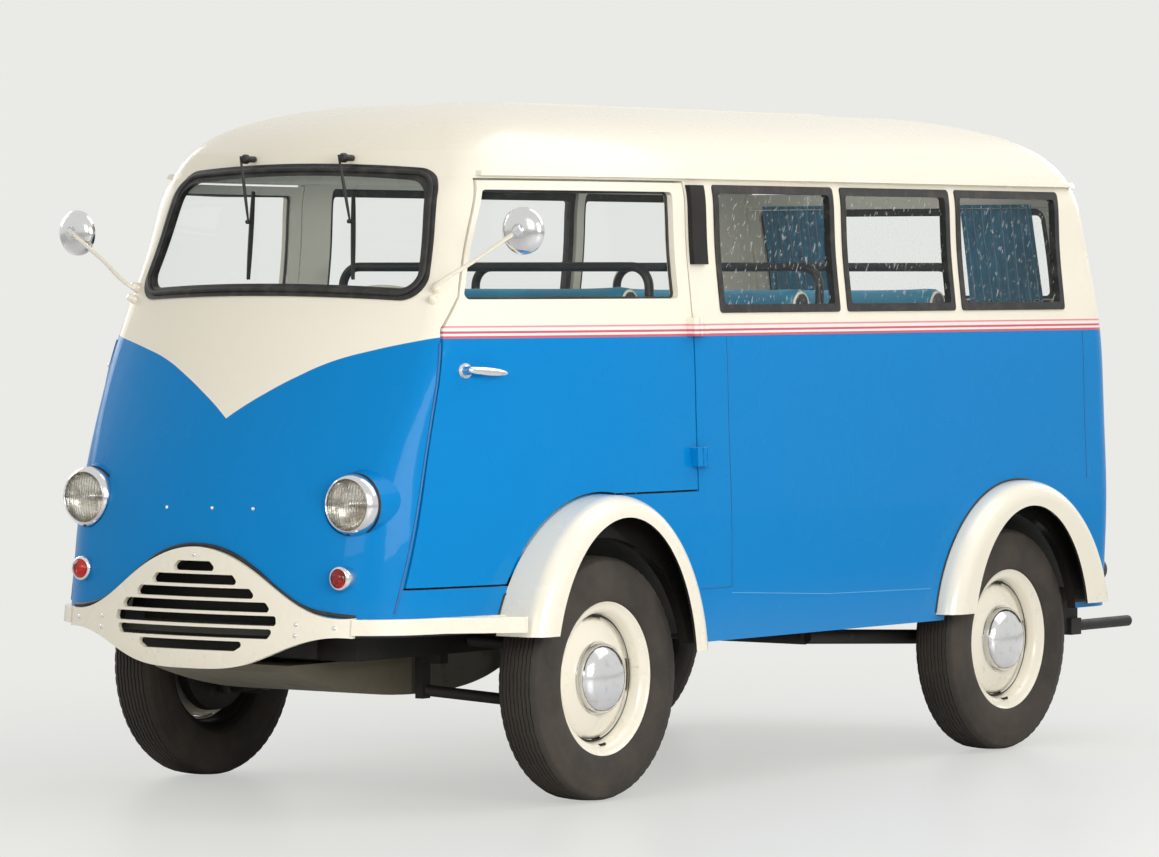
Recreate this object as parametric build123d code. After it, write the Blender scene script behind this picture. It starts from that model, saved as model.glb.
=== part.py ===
from build123d import *
import math
import os

os.makedirs("parts", exist_ok=True)

# ---------------------------------------------------------------------------
# Driving dimensions, millimetres.
# Stations (Y) run back from the front axle, heights (Z) up from the ground,
# +X is the vehicle's left. The vehicle faces -Y.
# ---------------------------------------------------------------------------
WHEELBASE = 2120
TRACK = 1390
TYRE_RADIUS = 343
TYRE_WIDTH = 154
RIM_SEAT_RADIUS = 205
RIM_FLANGE_RADIUS = 220
RIM_WIDTH = 118
HUBCAP_RADIUS = 94
AXLE_RADIUS = 15
RUNNING_CLEARANCE = 0.05
SEATED = 0.3         # clearance at which a piece rests on its neighbour

WALL = 30            # whole thickness of body walls and doors
SHUT_GAP = 6         # gap round doors and tailgate
SILL_HEIGHT = 421    # lower edge of the body
ROOF_JOINT = 1734    # height where the sides meet the roof
DRIP_FOOT, DRIP_TOP = 1741, 1755
SCREEN_JOINT = 1812  # height where the front panel meets the roof over the windscreen
REAR_JOINT = 2595    # station where the sides meet the rear panel
GLASS = 5
GLASS_INSET = 8      # fixed panes behind the outer skin
DOOR_GLASS_INSET = 22
SEAL_PROUD = 4       # how far rubber seals stand out of the skin
SEAL_DEPTH = 18

DOOR_REAR = 440      # station of the door's rear edge
DOOR_TOP = ROOF_JOINT - SHUT_GAP
DOOR_FRONT_FOOT = 620
DOOR_REAR_FOOT = 857
FULL_WIDTH_STATION = 500
HINGE_STATION = DOOR_REAR + 8
HINGE_X_LOW, HINGE_X_HIGH = 778, 766     # the door's hinge pins follow the leaning side
HINGE_Z_LOW, HINGE_Z_HIGH = 950, 1320
GATE_HINGE_STATION = 2698
GATE_HINGE_Z = ROOF_JOINT - 8
GATE_HINGE_X = 350

REAR_REACH = 3020    # tips of the rear tubes
GRILLE_PROUD = 16    # grille panel in front of the nose
STEER_PIN_X = 600    # kingpin offset from the centreline
PIN_RADIUS = 12

# One row of the body's table of offsets for each height:
# height, nose station, nose radius, corner radius, half width, side radius, tail station, tail corner
SIDE_ROWS = [
    (378, -887, 1550, 235, 763, 4450, 2750, 120),
    (548, -880, 1550, 240, 766, 4400, 2767, 120),
    (718, -859, 1575, 228, 766, 4200, 2778, 120),
    (888, -817, 1590, 180, 761, 3950, 2782, 120),
    (1058, -746, 1610, 115, 754, 3700, 2781, 120),
    (1228, -669, 1630, 110, 749, 3500, 2776, 120),
    (1398, -588, 1650, 114, 735, 3150, 2760, 120),
    (1568, -510, 1700, 116, 718, 2780, 2724, 120),
    (1738, -430, 1750, 122, 700, 2400, 2668, 125),
]
ROOF_ROWS = [
    SIDE_ROWS[-1],
    (1790, -402, 1650, 150, 683, 2300, 2648, 150),
    (1841, -354, 1450, 185, 646, 2200, 2619, 185),
    (1894, -258, 1150, 210, 558, 2100, 2558, 215),
    (1930, -128, 850, 200, 434, 2000, 2460, 200),
    (1954, 60, 600, 150, 282, 2000, 2305, 150),
    (1967, 340, 350, 60, 120, 2000, 2080, 60),
]
DOME_START = ROOF_ROWS[0][0]    # above this height an inset moves the surface down as well as in
CROWN_HEIGHT = ROOF_ROWS[-1][0]
NOSE_REACH = -SIDE_ROWS[0][1] + GRILLE_PROUD
FRONT_AXLE = -(REAR_REACH - NOSE_REACH) / 2   # Y of the front axle; the origin is mid-length

SIDE_PLANE = Plane(origin=(0, FRONT_AXLE, 0), x_dir=(0, 1, 0), z_dir=(1, 0, 0))
FRONT_PLANE = Plane(origin=(0, 0, 0), x_dir=(1, 0, 0), z_dir=(0, -1, 0))


# ---------------------------------------------------------------------------
# Helpers
# ---------------------------------------------------------------------------
def save(name, *solids):
    """Write one sub-part."""
    pieces = [piece for solid in solids for piece in solid.solids()]
    shape = pieces[0] if len(pieces) == 1 else Compound(children=pieces)
    export_step(shape, f"parts/{name}.step")


def point(x, station, height):
    return Vector(x, station + FRONT_AXLE, height)


def at(x, station, height):
    return Location(point(x, station, height))


def flip(shape):
    return mirror(shape, about=Plane.YZ)


def both(shape):
    return [shape, flip(shape)]


def box(x0, x1, y0, y1, z0, z1):
    return at((x0 + x1) / 2, (y0 + y1) / 2, (z0 + z1) / 2) * Box(x1 - x0, y1 - y0, z1 - z0)


def side_prism(sketch, x0, x1):
    """Extrude a (station, height) sketch across the vehicle from x0 to x1."""
    return extrude(Pos(x0, 0, 0) * (SIDE_PLANE * sketch), amount=x1 - x0)


def front_prism(sketch, y0, y1):
    """Extrude an (x, height) sketch along the vehicle from station y0 back to y1."""
    return extrude(at(0, y1, 0) * (FRONT_PLANE * sketch), amount=y1 - y0)


def outline(points, radii=None):
    """A closed outline with straight edges and rounded corners, one radius per point."""
    shape = make_face(Polyline(*points, close=True))
    for point, radius in zip(points, radii or []):
        if radius:
            corner = shape.vertices().sort_by_distance(Vector(*point, 0))[0]
            shape = fillet(corner, radius)
    return shape


def rod(start, end, radius):
    start, end = point(*start), point(*end)
    length = (end - start).length
    return Plane(origin=start, z_dir=end - start) * Cylinder(
        radius, length, align=(Align.CENTER, Align.CENTER, Align.MIN))


def tube_path(points, bend, radius):
    """A bent bar through the points, with one bend radius."""
    path = FilletPolyline(*[point(*p) for p in points], radius=bend)
    start = path @ 0
    section = Plane(origin=start, z_dir=path % 0) * Circle(radius)
    return sweep(section, path=path)


def turned(profile):
    """Revolve an (x, radius) outline about an axle that runs across the vehicle."""
    return revolve(Plane.XY * profile, axis=Axis.X)


# ---------------------------------------------------------------------------
# Body form: a loft through waterlines, each made of tangent arcs and lines
# ---------------------------------------------------------------------------
def meet_arcs(c1, r1, c2, r2, corner):
    """Centre and tangent points of a corner arc between two larger circles."""
    d1, d2 = r1 - corner, r2 - corner
    gap = (c2 - c1).length
    along = (d1 * d1 - d2 * d2 + gap * gap) / (2 * gap)
    across = math.sqrt(d1 * d1 - along * along)
    unit = (c2 - c1).normalized()
    sideways = Vector(unit.Y, -unit.X, 0) * across
    centre = min((c1 + unit * along + sideways, c1 + unit * along - sideways), key=lambda p: p.Y)
    return centre, c1 + (centre - c1).normalized() * r1, c2 + (centre - c2).normalized() * r2


def dome_share(height):
    """How far up the roof dome a height lies, from 0 at the drip rail to 1 at the crown."""
    return max(0.0, (height - DOME_START) / (CROWN_HEIGHT - DOME_START))


def waterline(row, inset):
    """The plan outline of the body at one height, set in by an even thickness."""
    height, nose, nose_r, corner, half, side_r, tail, tail_corner = row
    rise = dome_share(height)
    plan_inset = inset * (1 - rise)
    drop = inset * math.sin(rise * math.pi / 2)
    level = height - drop
    nose, tail, half = nose + plan_inset, tail - plan_inset, half - plan_inset
    nose_r, side_r = nose_r - plan_inset, side_r - plan_inset
    corner = max(corner - plan_inset, 20)
    tail_corner = max(tail_corner - plan_inset, 20)
    full = FULL_WIDTH_STATION
    c1, c2 = Vector(0, nose + nose_r, 0), Vector(half - side_r, full, 0)
    centre, a, b = meet_arcs(c1, nose_r, c2, side_r, corner)
    up = Vector(0, FRONT_AXLE, level)

    def arc(start, end, middle):
        """A round stretch as one cubic edge, so that every waterline lofts evenly."""
        first, last = start - middle, end - middle
        reach = 4 / 3 * math.tan(math.radians(first.get_angle(last)) / 4)
        sense = 1 if first.cross(last).Z > 0 else -1
        ahead = Vector(-first.Y, first.X, 0) * sense * reach
        behind = Vector(-last.Y, last.X, 0) * sense * reach
        return Edge.make_bezier(start + up, start + ahead + up, end - behind + up, end + up)

    def straight(start, end):
        step = (end - start) / 3
        return Edge.make_bezier(start + up, start + step + up, end - step + up, end + up)

    def mirrored(point):
        return Vector(-point.X, point.Y, 0)

    c = Vector(half, full, 0)
    d = Vector(half, tail - tail_corner, 0)
    e = Vector(half - tail_corner, tail, 0)
    tail_centre = Vector(half - tail_corner, tail - tail_corner, 0)
    return Wire([
        arc(mirrored(a), a, c1),
        arc(a, b, centre),
        arc(b, c, c2),
        straight(c, d),
        arc(d, e, tail_centre),
        straight(e, mirrored(e)),
        arc(mirrored(e), mirrored(d), mirrored(tail_centre)),
        straight(mirrored(d), mirrored(c)),
        arc(mirrored(c), mirrored(b), mirrored(c2)),
        arc(mirrored(b), mirrored(a), mirrored(centre)),
    ])


BODY_FORMS = {}


def body_form(inset):
    """The whole body volume at an even inset from the outer skin."""
    if inset not in BODY_FORMS:
        sides = Solid.make_loft([waterline(row, inset) for row in SIDE_ROWS])
        roof = Solid.make_loft([waterline(row, inset) for row in ROOF_ROWS])
        BODY_FORMS[inset] = sides + roof
    return BODY_FORMS[inset]


def skin(outer_inset, inner_inset):
    return body_form(outer_inset) - body_form(inner_inset)


FAR = 1200                      # reaches past the body on every side
above_sill = box(-FAR, FAR, -FAR, REAR_REACH, SILL_HEIGHT, 2100)
body_wall = skin(0, WALL) & above_sill
seal_band = skin(-SEAL_PROUD, SEAL_DEPTH)
glass_band = skin(GLASS_INSET, GLASS_INSET + GLASS)
door_glass_band = skin(DOOR_GLASS_INSET, DOOR_GLASS_INSET + GLASS)


# ---------------------------------------------------------------------------
# Hinges: a pin carried by two fixed knuckles, with the moving knuckle between them
# ---------------------------------------------------------------------------
HINGE_LENGTH = 54
KNUCKLE_RADIUS = 9
HINGE_PIN_RADIUS = 4.5
KNUCKLE_SPLIT = 0.4
LEAF_REACH = 36


def hinge(origin, axis, outward, skin_depth):
    """Fixed and moving halves; the fixed leaf lies opposite the moving one, across the pin."""
    place = Plane(origin=origin, z_dir=axis, x_dir=outward)
    third = HINGE_LENGTH / 3
    barrel = Cylinder(KNUCKLE_RADIUS, HINGE_LENGTH)
    middle = Box(200, 200, third)
    fixed_middle = Box(200, 200, third + 2 * KNUCKLE_SPLIT)
    leaf_width = LEAF_REACH - KNUCKLE_RADIUS - 3
    leaf = Pos(-skin_depth / 2 + 2, KNUCKLE_RADIUS + 3 + leaf_width / 2, 0) * Box(
        skin_depth + 4, leaf_width, HINGE_LENGTH)
    neck = Pos(-1, (KNUCKLE_RADIUS + 4) / 2, 0) * Box(8, KNUCKLE_RADIUS + 4, HINGE_LENGTH)
    fixed = leaf + ((barrel + neck) - fixed_middle) + Cylinder(HINGE_PIN_RADIUS, HINGE_LENGTH)
    opposite = Rot(180, 0, 0)
    moving = opposite * leaf + ((barrel + opposite * neck) & middle)
    moving -= Cylinder(HINGE_PIN_RADIUS + RUNNING_CLEARANCE, HINGE_LENGTH)
    return place * fixed - body_form(0), place * moving - body_form(0)


# ---------------------------------------------------------------------------
# Wheels: tyre and rim turned about the axle, then moved to the four hubs
# ---------------------------------------------------------------------------
HUB_X = TRACK / 2


def tyre_profile():
    half = TYRE_WIDTH / 2
    bead = RIM_WIDTH / 2 - 6
    shoulder = half - 12
    with BuildSketch() as sketch:
        with BuildLine():
            Polyline((-bead, RIM_SEAT_RADIUS), (bead, RIM_SEAT_RADIUS))
            Spline((bead, RIM_SEAT_RADIUS), (half, 262), (shoulder, TYRE_RADIUS - 14),
                   tangents=((0.6, 1), (-0.45, 1)))
            ThreePointArc((shoulder, TYRE_RADIUS - 14), (0, TYRE_RADIUS),
                          (-shoulder, TYRE_RADIUS - 14))
            Spline((-shoulder, TYRE_RADIUS - 14), (-half, 262), (-bead, RIM_SEAT_RADIUS),
                   tangents=((-0.45, -1), (0.6, -1)))
        make_face()
    return sketch.sketch


def rim_profile():
    """Half section of rim, disc, drum and hubcap, x outwards from the wheel's centre plane."""
    edge = RIM_WIDTH / 2
    bore = AXLE_RADIUS + RUNNING_CLEARANCE
    return outline([
        (-30, bore), (26, bore), (26, 0), (90, 0), (84, 40), (66, 78), (40, HUBCAP_RADIUS),
        (36, HUBCAP_RADIUS + 12), (18, 118), (12, 150), (22, 172), (edge - 8, 186),
        (edge, 204), (edge, RIM_FLANGE_RADIUS), (edge - 6, RIM_FLANGE_RADIUS),
        (edge - 6, RIM_SEAT_RADIUS), (-edge + 6, RIM_SEAT_RADIUS),
        (-edge + 6, RIM_FLANGE_RADIUS), (-edge, RIM_FLANGE_RADIUS), (-edge, 196),
        (-20, 180), (-8, 150), (-14, 130), (-60, 128), (-60, 60), (-30, 52)])


def wheel_at(x_side, station):
    place = at(x_side * HUB_X, station, TYRE_RADIUS)
    rim = turned(rim_profile())
    tyre = turned(tyre_profile()) - rim
    if x_side < 0:
        tyre, rim = flip(tyre), flip(rim)
    return place * tyre, place * rim


for end, station in (("front", 0), ("rear", WHEELBASE)):
    for side, sign in (("left", 1), ("right", -1)):
        tyre, rim = wheel_at(sign, station)
        save(f"tyre_{end}_{side}", tyre)
        save(f"rim_{end}_{side}", rim)

# ---------------------------------------------------------------------------
# Fenders and the wheel openings behind them
# ---------------------------------------------------------------------------
FENDER_LIP_FRONT = 830
FENDER_LIP_REAR = 838
FENDER_TUNNEL = 392          # radius of the clear tunnel over each wheel


def fender(station, lip, outer, opening, foot_front, foot_rear):
    """One bulging fender: outer and opening are (centre offset, half length, top height)."""
    def arch(spec):
        offset, half_length, top = spec
        return Pos(station + offset, TYRE_RADIUS) * Ellipse(half_length, top - TYRE_RADIUS)
    crown = side_prism(arch(outer), 500, lip)
    edge = crown.edges().sort_by(Axis.X)[-1]
    crown = fillet(edge, 52)
    thin = 8
    tunnel_spec = (outer[0], outer[1] - thin, outer[2] - thin)
    tunnel = side_prism(arch(tunnel_spec), 400, lip - thin)
    tunnel = fillet(tunnel.edges().sort_by(Axis.X)[-1], 46)
    mouth = side_prism(arch(opening), 500, lip + 50)
    below_front = box(400, lip + 50, station - 600, station, -400, foot_front)
    below_rear = box(400, lip + 50, station, station + 600, -400, foot_rear)
    return crown - tunnel - mouth - below_front - below_rear - body_form(0)


front_fender = fender(0, FENDER_LIP_FRONT, (8, 425, 855), (6, 336, 794), 480, 403)
rear_fender = fender(WHEELBASE, FENDER_LIP_REAR, (36, 476, 833), (14, 336, 757), 440, 440)
save("front_fenders", *both(front_fender))
save("rear_fenders", *both(rear_fender))


def wheel_tunnel(station, radius, inner_x):
    return at((inner_x + FAR) / 2, station, TYRE_RADIUS) * Rot(0, 90, 0) * Cylinder(
        radius, FAR - inner_x)


FRONT_WELL_X = 432
REAR_WELL_X = 585
wheel_clearance = Part() + wheel_tunnel(0, FENDER_TUNNEL, FRONT_WELL_X)
wheel_clearance += wheel_tunnel(WHEELBASE, FENDER_TUNNEL, REAR_WELL_X)
wheel_clearance += flip(wheel_clearance)

# ---------------------------------------------------------------------------
# Door and window outlines in side view
# ---------------------------------------------------------------------------
SEAM = [(540, -714), (1317, -508), (1404, -447), (1733, -325)]   # height, station


def seam_station(height):
    """Station of the door's front edge at a height."""
    for (z0, y0), (z1, y1) in zip(SEAM, SEAM[1:]):
        if height <= z1 or z1 == SEAM[-1][0]:
            return y0 + (y1 - y0) * (height - z0) / (z1 - z0)


def door_region(grow):
    """The door's outline grown by an amount, less the fender that it clears."""
    points = [(seam_station(h), h) for h in (DOOR_FRONT_FOOT, 1317, 1404, DOOR_TOP)]
    points += [(DOOR_REAR, DOOR_TOP), (DOOR_REAR, DOOR_REAR_FOOT), (8, DOOR_REAR_FOOT),
               (8, DOOR_FRONT_FOOT)]
    face = make_face(Polyline(*points, close=True))
    if grow:
        face = offset(face, grow, kind=Kind.INTERSECTION)
    clear = 8 - grow
    arch = Pos(8, TYRE_RADIUS) * Ellipse(425 + clear, 855 - TYRE_RADIUS + clear)
    return face - arch


DOOR_STILE = 13
DOOR_WINDOW_FOOT = 1400
DOOR_WINDOW_TOP = DOOR_TOP - 26
DOOR_WINDOW_REAR = 386


def door_window(inset):
    foot, top = DOOR_WINDOW_FOOT + inset, DOOR_WINDOW_TOP - inset
    rear = DOOR_WINDOW_REAR - inset
    front_foot = seam_station(foot) + DOOR_STILE + inset
    front_top = seam_station(top) + DOOR_STILE + inset
    radius = 14
    return outline([(front_foot, foot), (front_top, top), (rear, top), (rear, foot)],
                   [radius] * 4)


SIDE_WINDOWS = [(583, 1204), (1244, 1840), (1877, 2476)]
SIDE_WINDOW_FOOT = 1358
SIDE_WINDOW_TOP = 1725
FRAME_WIDTH = 24


def side_window(span, inset):
    y0, y1 = span[0] + inset, span[1] - inset
    z0, z1 = SIDE_WINDOW_FOOT + inset, SIDE_WINDOW_TOP - inset
    return Pos((y0 + y1) / 2, (z0 + z1) / 2) * RectangleRounded(y1 - y0, z1 - z0, 12)


# ---------------------------------------------------------------------------
# Windscreen outline in front view
# ---------------------------------------------------------------------------
SCREEN_SEAL_WIDTH = 34


SCREEN_FOOT, SCREEN_TOP = 1393, 1758
SCREEN_FOOT_BOW, SCREEN_TOP_BOW = 16, 20      # both long edges arch upwards


def windscreen_outline(inset):
    """A four-sided outline with arched head and sill and round corners."""
    foot, top = SCREEN_FOOT + inset, SCREEN_TOP - inset
    low, high = 516 - inset, 464 - inset * 0.9
    face = make_face(Wire([
        *Polyline((-low, foot), (-high, top)).edges(),
        *ThreePointArc((-high, top), (0, top + SCREEN_TOP_BOW), (high, top)).edges(),
        *Polyline((high, top), (low, foot)).edges(),
        *ThreePointArc((low, foot), (0, foot + SCREEN_FOOT_BOW), (-low, foot)).edges()]))
    for (x, z), radius in (((low, foot), 62), ((high, top), 84)):
        for side in (x, -x):
            corner = face.vertices().sort_by_distance(Vector(side, z, 0))[0]
            face = fillet(corner, radius - inset * 0.6)
    return face


screen_cut = front_prism(windscreen_outline(0), -1000, -100)
screen_hole = front_prism(windscreen_outline(SCREEN_SEAL_WIDTH), -1000, -100)
screen_seal = seal_band & (screen_cut - screen_hole)
windscreen = glass_band & screen_hole

# ---------------------------------------------------------------------------
# Body panels
# ---------------------------------------------------------------------------
front_zone = side_prism(make_face(Polyline(
    (-FAR, 300), (-FAR, SCREEN_JOINT), (-290, SCREEN_JOINT), (seam_station(ROOF_JOINT), ROOF_JOINT),
    (seam_station(1404), 1404), (seam_station(1317), 1317), (seam_station(DOOR_FRONT_FOOT), DOOR_FRONT_FOOT),
    (seam_station(DOOR_FRONT_FOOT), DOOR_FRONT_FOOT - SHUT_GAP), (-330, DOOR_FRONT_FOOT - SHUT_GAP),
    (-330, 300), close=True)), -FAR, FAR)
door_hole = side_prism(door_region(SHUT_GAP), 250, FAR)
roof_zone = box(-FAR, FAR, -FAR, REAR_REACH, ROOF_JOINT, 2100) - front_zone
rear_zone = box(-FAR, FAR, REAR_JOINT, REAR_REACH, 300, ROOF_JOINT)
side_zone = box(0, FAR, -330, REAR_JOINT, 300, ROOF_JOINT) - front_zone

BAR_FOOT, BAR_TOP = 495, 538      # the bumper's blades
NOSE_SILL = 500      # lower edge of the nose, hidden by the blades
SLOT_PITCH = 35.7
SLOT_HEIGHT = 27
SLOT_TOP = 672
# half widths of each slot at its head and foot, which follow the panel's outline
SLOT_ENDS = [(56, 86), (136, 160), (194, 219), (247, 270), (282, 286), (281, 262), (206, 160)]
SLOT_CORNER = 9
grille_hole = front_prism(outline(
    [(-70, 692), (-292, 560), (-292, 500), (-212, 424), (212, 424), (292, 500), (292, 560), (70, 692)],
    [20, 60, 60, 30, 30, 60, 60, 20]), -1000, -700)

front_panel = (body_wall & front_zone) - screen_cut - grille_hole - wheel_clearance
front_panel = front_panel - door_hole - flip(door_hole)

# The lamp pods swell out of the nose round each headlamp.
LAMP_X = 469
LAMP_Z = 846
LAMP_RADIUS = 84
LAMP_FACE = -756
POD_BACK = -560
POD_BACK_RADIUS = 128
pod = at(LAMP_X, POD_BACK, LAMP_Z) * Rot(90, 0, 0) * Cone(
    POD_BACK_RADIUS, LAMP_RADIUS + 3, POD_BACK - LAMP_FACE, align=(Align.CENTER, Align.CENTER, Align.MIN))
pod = pod & box(0, FAR, LAMP_FACE, 0, 0, 2000)
pod = pod - body_form(0)
front_panel = front_panel + pod + flip(pod)
for side in both(rod((LAMP_X, LAMP_FACE, LAMP_Z), (LAMP_X, -FAR, LAMP_Z), LAMP_RADIUS + SEATED)):
    front_panel -= side
front_panel -= box(-FAR, FAR, -FAR, -330, 0, NOSE_SILL)
save("front_panel", front_panel)

roof = body_wall & roof_zone
roof = roof - screen_cut
drip = (skin(-16, 0) & box(-FAR, FAR, -500, 2600, DRIP_FOOT, DRIP_TOP)) - front_zone
door_hinge_axis = Vector(HINGE_X_HIGH - HINGE_X_LOW, 0, HINGE_Z_HIGH - HINGE_Z_LOW)
door_hinges = [hinge(point(x, HINGE_STATION, z), door_hinge_axis, (1, 0, 0), 40)
               for x, z in ((HINGE_X_LOW, HINGE_Z_LOW), (HINGE_X_HIGH, HINGE_Z_HIGH))]
gate_hinges = [hinge(point(x, GATE_HINGE_STATION, GATE_HINGE_Z), (1, 0, 0), (0, 1, 0), 60)
               for x in (-GATE_HINGE_X, GATE_HINGE_X)]

side_panel = (body_wall & side_zone) - door_hole - wheel_clearance
for fixed, moving in door_hinges:
    side_panel += fixed
for span in SIDE_WINDOWS:
    side_panel = side_panel - side_prism(side_window(span, 0), 300, FAR)
save("side_panels", *both(side_panel))

roof += drip
for fixed, moving in gate_hinges:
    roof += fixed
save("roof", roof)

# Tailgate: one lid with a wide window, hung from the top edge.
GATE_HALF = 592
GATE_FOOT = 520
GATE_TOP = ROOF_JOINT - SHUT_GAP
GATE_WINDOW = (0, 1527, 1100, 304)


def gate_region(grow):
    height = GATE_TOP - GATE_FOOT + 2 * grow
    return Pos(0, (GATE_TOP + GATE_FOOT) / 2) * RectangleRounded(2 * (GATE_HALF + grow), height, 30 + grow)


def gate_window(inset):
    x, z, width, height = GATE_WINDOW
    return Pos(x, z) * RectangleRounded(width - 2 * inset, height - 2 * inset, 40 - inset)


rear_panel = (body_wall & rear_zone) - front_prism(gate_region(SHUT_GAP), 2400, 3000)
save("rear_panel", rear_panel)
tail_box = box(-FAR, FAR, 2600, REAR_REACH, 0, 2100)
gate = body_wall & tail_box & front_prism(gate_region(0), 2400, 3000)
gate = gate - front_prism(gate_window(0), 2400, 3000)
for fixed, moving in gate_hinges:
    gate += moving
gate_frame = front_prism(gate_window(0), 2400, 3000) - front_prism(gate_window(FRAME_WIDTH), 2400, 3000)
gate_seal = seal_band & tail_box & gate_frame
gate_glass = glass_band & tail_box & front_prism(gate_window(FRAME_WIDTH), 2400, 3000)
save("tailgate", gate)
save("tailgate_seal", gate_seal)
save("tailgate_glass", gate_glass)

seals = [screen_seal]
panes = []
for span in SIDE_WINDOWS:
    frame = side_prism(side_window(span, 0), 500, FAR) - side_prism(side_window(span, FRAME_WIDTH), 500, FAR)
    seals += both(seal_band & frame)
    panes += both(glass_band & side_prism(side_window(span, FRAME_WIDTH), 500, FAR))
save("window_seals", *seals)
save("windscreen", windscreen)
save("side_glass", *panes)

# ---------------------------------------------------------------------------
# Doors
# ---------------------------------------------------------------------------
door = (body_wall & side_prism(door_region(0), 250, FAR)) - side_prism(door_window(0), 250, FAR)
for fixed, moving in door_hinges:
    door += moving
door_pane = door_glass_band & side_prism(door_window(0), 250, FAR)
handle_foot = rod((560, -462, 1205), (645, -500, 1205), 15)
handle_lever = rod((640, -500, 1205), (668, -385, 1200), 8)
handle = (handle_foot + handle_lever) - body_form(0)
for side, place in (("left", lambda s: s), ("right", flip)):
    save(f"door_{side}", place(door))
    save(f"door_glass_{side}", place(door_pane))
    save(f"door_handle_{side}", place(handle))

# ---------------------------------------------------------------------------
# Floor with wheel wells
# ---------------------------------------------------------------------------
FLOOR_TOP = 512
FLOOR_THICK = 26
inside = body_form(WALL)
floor_plate = inside & box(-FAR, FAR, -FAR, REAR_REACH, FLOOR_TOP - FLOOR_THICK, FLOOR_TOP)
WELL_SKIN = 8
wells = Part()
for station, inner_x in ((0, FRONT_WELL_X), (WHEELBASE, REAR_WELL_X)):
    wells += wheel_tunnel(station, FENDER_TUNNEL + WELL_SKIN, inner_x - WELL_SKIN)
wells = (wells & inside) & box(0, FAR, -FAR, REAR_REACH, FLOOR_TOP - FLOOR_THICK, 1000)
ENGINE_HALF = 205
ENGINE_FRONT, ENGINE_BACK = -560, 100
ENGINE_FOOT, ENGINE_TOP = 400, 770
COVER_GAP = 15       # room between the engine and its cover
COVER_TOP = ENGINE_TOP + COVER_GAP + WELL_SKIN
cover_inner = box(-ENGINE_HALF - COVER_GAP, ENGINE_HALF + COVER_GAP, ENGINE_FRONT - COVER_GAP,
                  ENGINE_BACK + COVER_GAP, 300, ENGINE_TOP + COVER_GAP)
cover_outer = box(-ENGINE_HALF - COVER_GAP - WELL_SKIN, ENGINE_HALF + COVER_GAP + WELL_SKIN,
                  ENGINE_FRONT - COVER_GAP - WELL_SKIN, ENGINE_BACK + COVER_GAP + WELL_SKIN,
                  FLOOR_TOP - FLOOR_THICK, COVER_TOP)
floor = floor_plate + wells + flip(wells) + cover_outer - cover_inner - wheel_clearance
save("floor", floor)

# ---------------------------------------------------------------------------
# Nose fittings
# ---------------------------------------------------------------------------
grille_outline = make_face(Wire([
    *Spline((-500, 541), (-358, 564), (-196, 664), (0, 724), (196, 664), (358, 564), (500, 541)).edges(),
    *Polyline((500, 541), (500, 487)).edges(),
    *Spline((500, 487), (340, 464), (190, 408), (0, 393), (-190, 408), (-340, 464), (-500, 487)).edges(),
    *Polyline((-500, 487), (-500, 541)).edges()]))
grille_slab = (Pos(0, -GRILLE_PROUD, 0) * body_form(0)) - body_form(0)
grille = grille_slab & front_prism(grille_outline, -1000, -500)
for index, (head, foot) in enumerate(SLOT_ENDS):
    high = SLOT_TOP + SLOT_HEIGHT / 2 - SLOT_PITCH * index
    low = high - SLOT_HEIGHT
    slot = outline([(-foot, low), (-head, high), (head, high), (foot, low)], [SLOT_CORNER] * 4)
    grille = grille - front_prism(slot, -1000, -500)
save("grille_panel", grille)

bar_ring = (skin(-18, 0) & box(0, FAR, -FAR, -362, BAR_FOOT, BAR_TOP)) - front_prism(grille_outline, -1000, -500)
bar_ring = bar_ring & box(420, FAR, -FAR, FAR, 0, 2000)
blade_end = make_face(Polyline((646, -596), (796, -432), (796, -416), (780, -416), (634, -578), close=True))
blade_end = extrude(at(0, 0, BAR_FOOT) * blade_end, amount=BAR_TOP - BAR_FOOT)
save("bumper_bars", *both((bar_ring + blade_end) - front_fender - body_form(0)))

lamp_profile = outline([(0, 0), (0, 84), (22, 84), (34, 74), (42, 60), (50, 34), (53, 0)])
lamp = revolve(Plane.XY * lamp_profile, axis=Axis.X)
lamp = at(LAMP_X, LAMP_FACE, LAMP_Z) * Rot(0, 0, -90) * lamp
save("headlamps", *both(lamp))

signal = rod((460, -760, 648), (460, -826, 648), 34) - body_form(0)
tail_lamp = rod((650, 2700, 526), (650, 2826, 526), 43) - body_form(0)
save("signal_lamps", *both(signal), *both(tail_lamp))

# ---------------------------------------------------------------------------
# Mirrors, wipers, signal arms on the centre pillars
# ---------------------------------------------------------------------------
mirror_arm = tube_path([(530, -470, 1425), (560, -530, 1440), (690, -500, 1520), (800, -452, 1587)], 30, 6)
mirror_head = at(800, -447, 1587) * Rot(90, 0, 0) * Cylinder(65, 20)
mirror_piece = (mirror_arm + mirror_head) - body_form(0)
save("mirrors", *both(mirror_piece))

WIPER_X = 176
WIPER_LEAN = 112     # how far both blades' lower ends stand to the vehicle's left


def before_screen(x, height):
    """A point just in front of the windscreen."""
    low, high = SIDE_ROWS[6], SIDE_ROWS[8]
    share = (height - low[0]) / (high[0] - low[0])
    return (x, low[1] + share * (high[1] - low[1]) + x * x / (2 * low[2]) - 16, height)


wipers = []
for x in (-WIPER_X, WIPER_X):
    middle = before_screen(x + WIPER_LEAN / 2, 1640)
    tip = before_screen(x + WIPER_LEAN, 1455)
    wiper = rod((x, -400, 1792), (x, -442, 1792), 12)
    wiper += rod((x, -436, 1792), middle, 4) + rod(middle, tip, 7)
    wipers.append(wiper - body_form(0))
save("wipers", *wipers)

arm_box = (skin(-16, 0) & side_prism(Pos(490, 1610) * Rectangle(70, 226), 500, FAR))
save("signal_arms", *both(arm_box))

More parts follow.
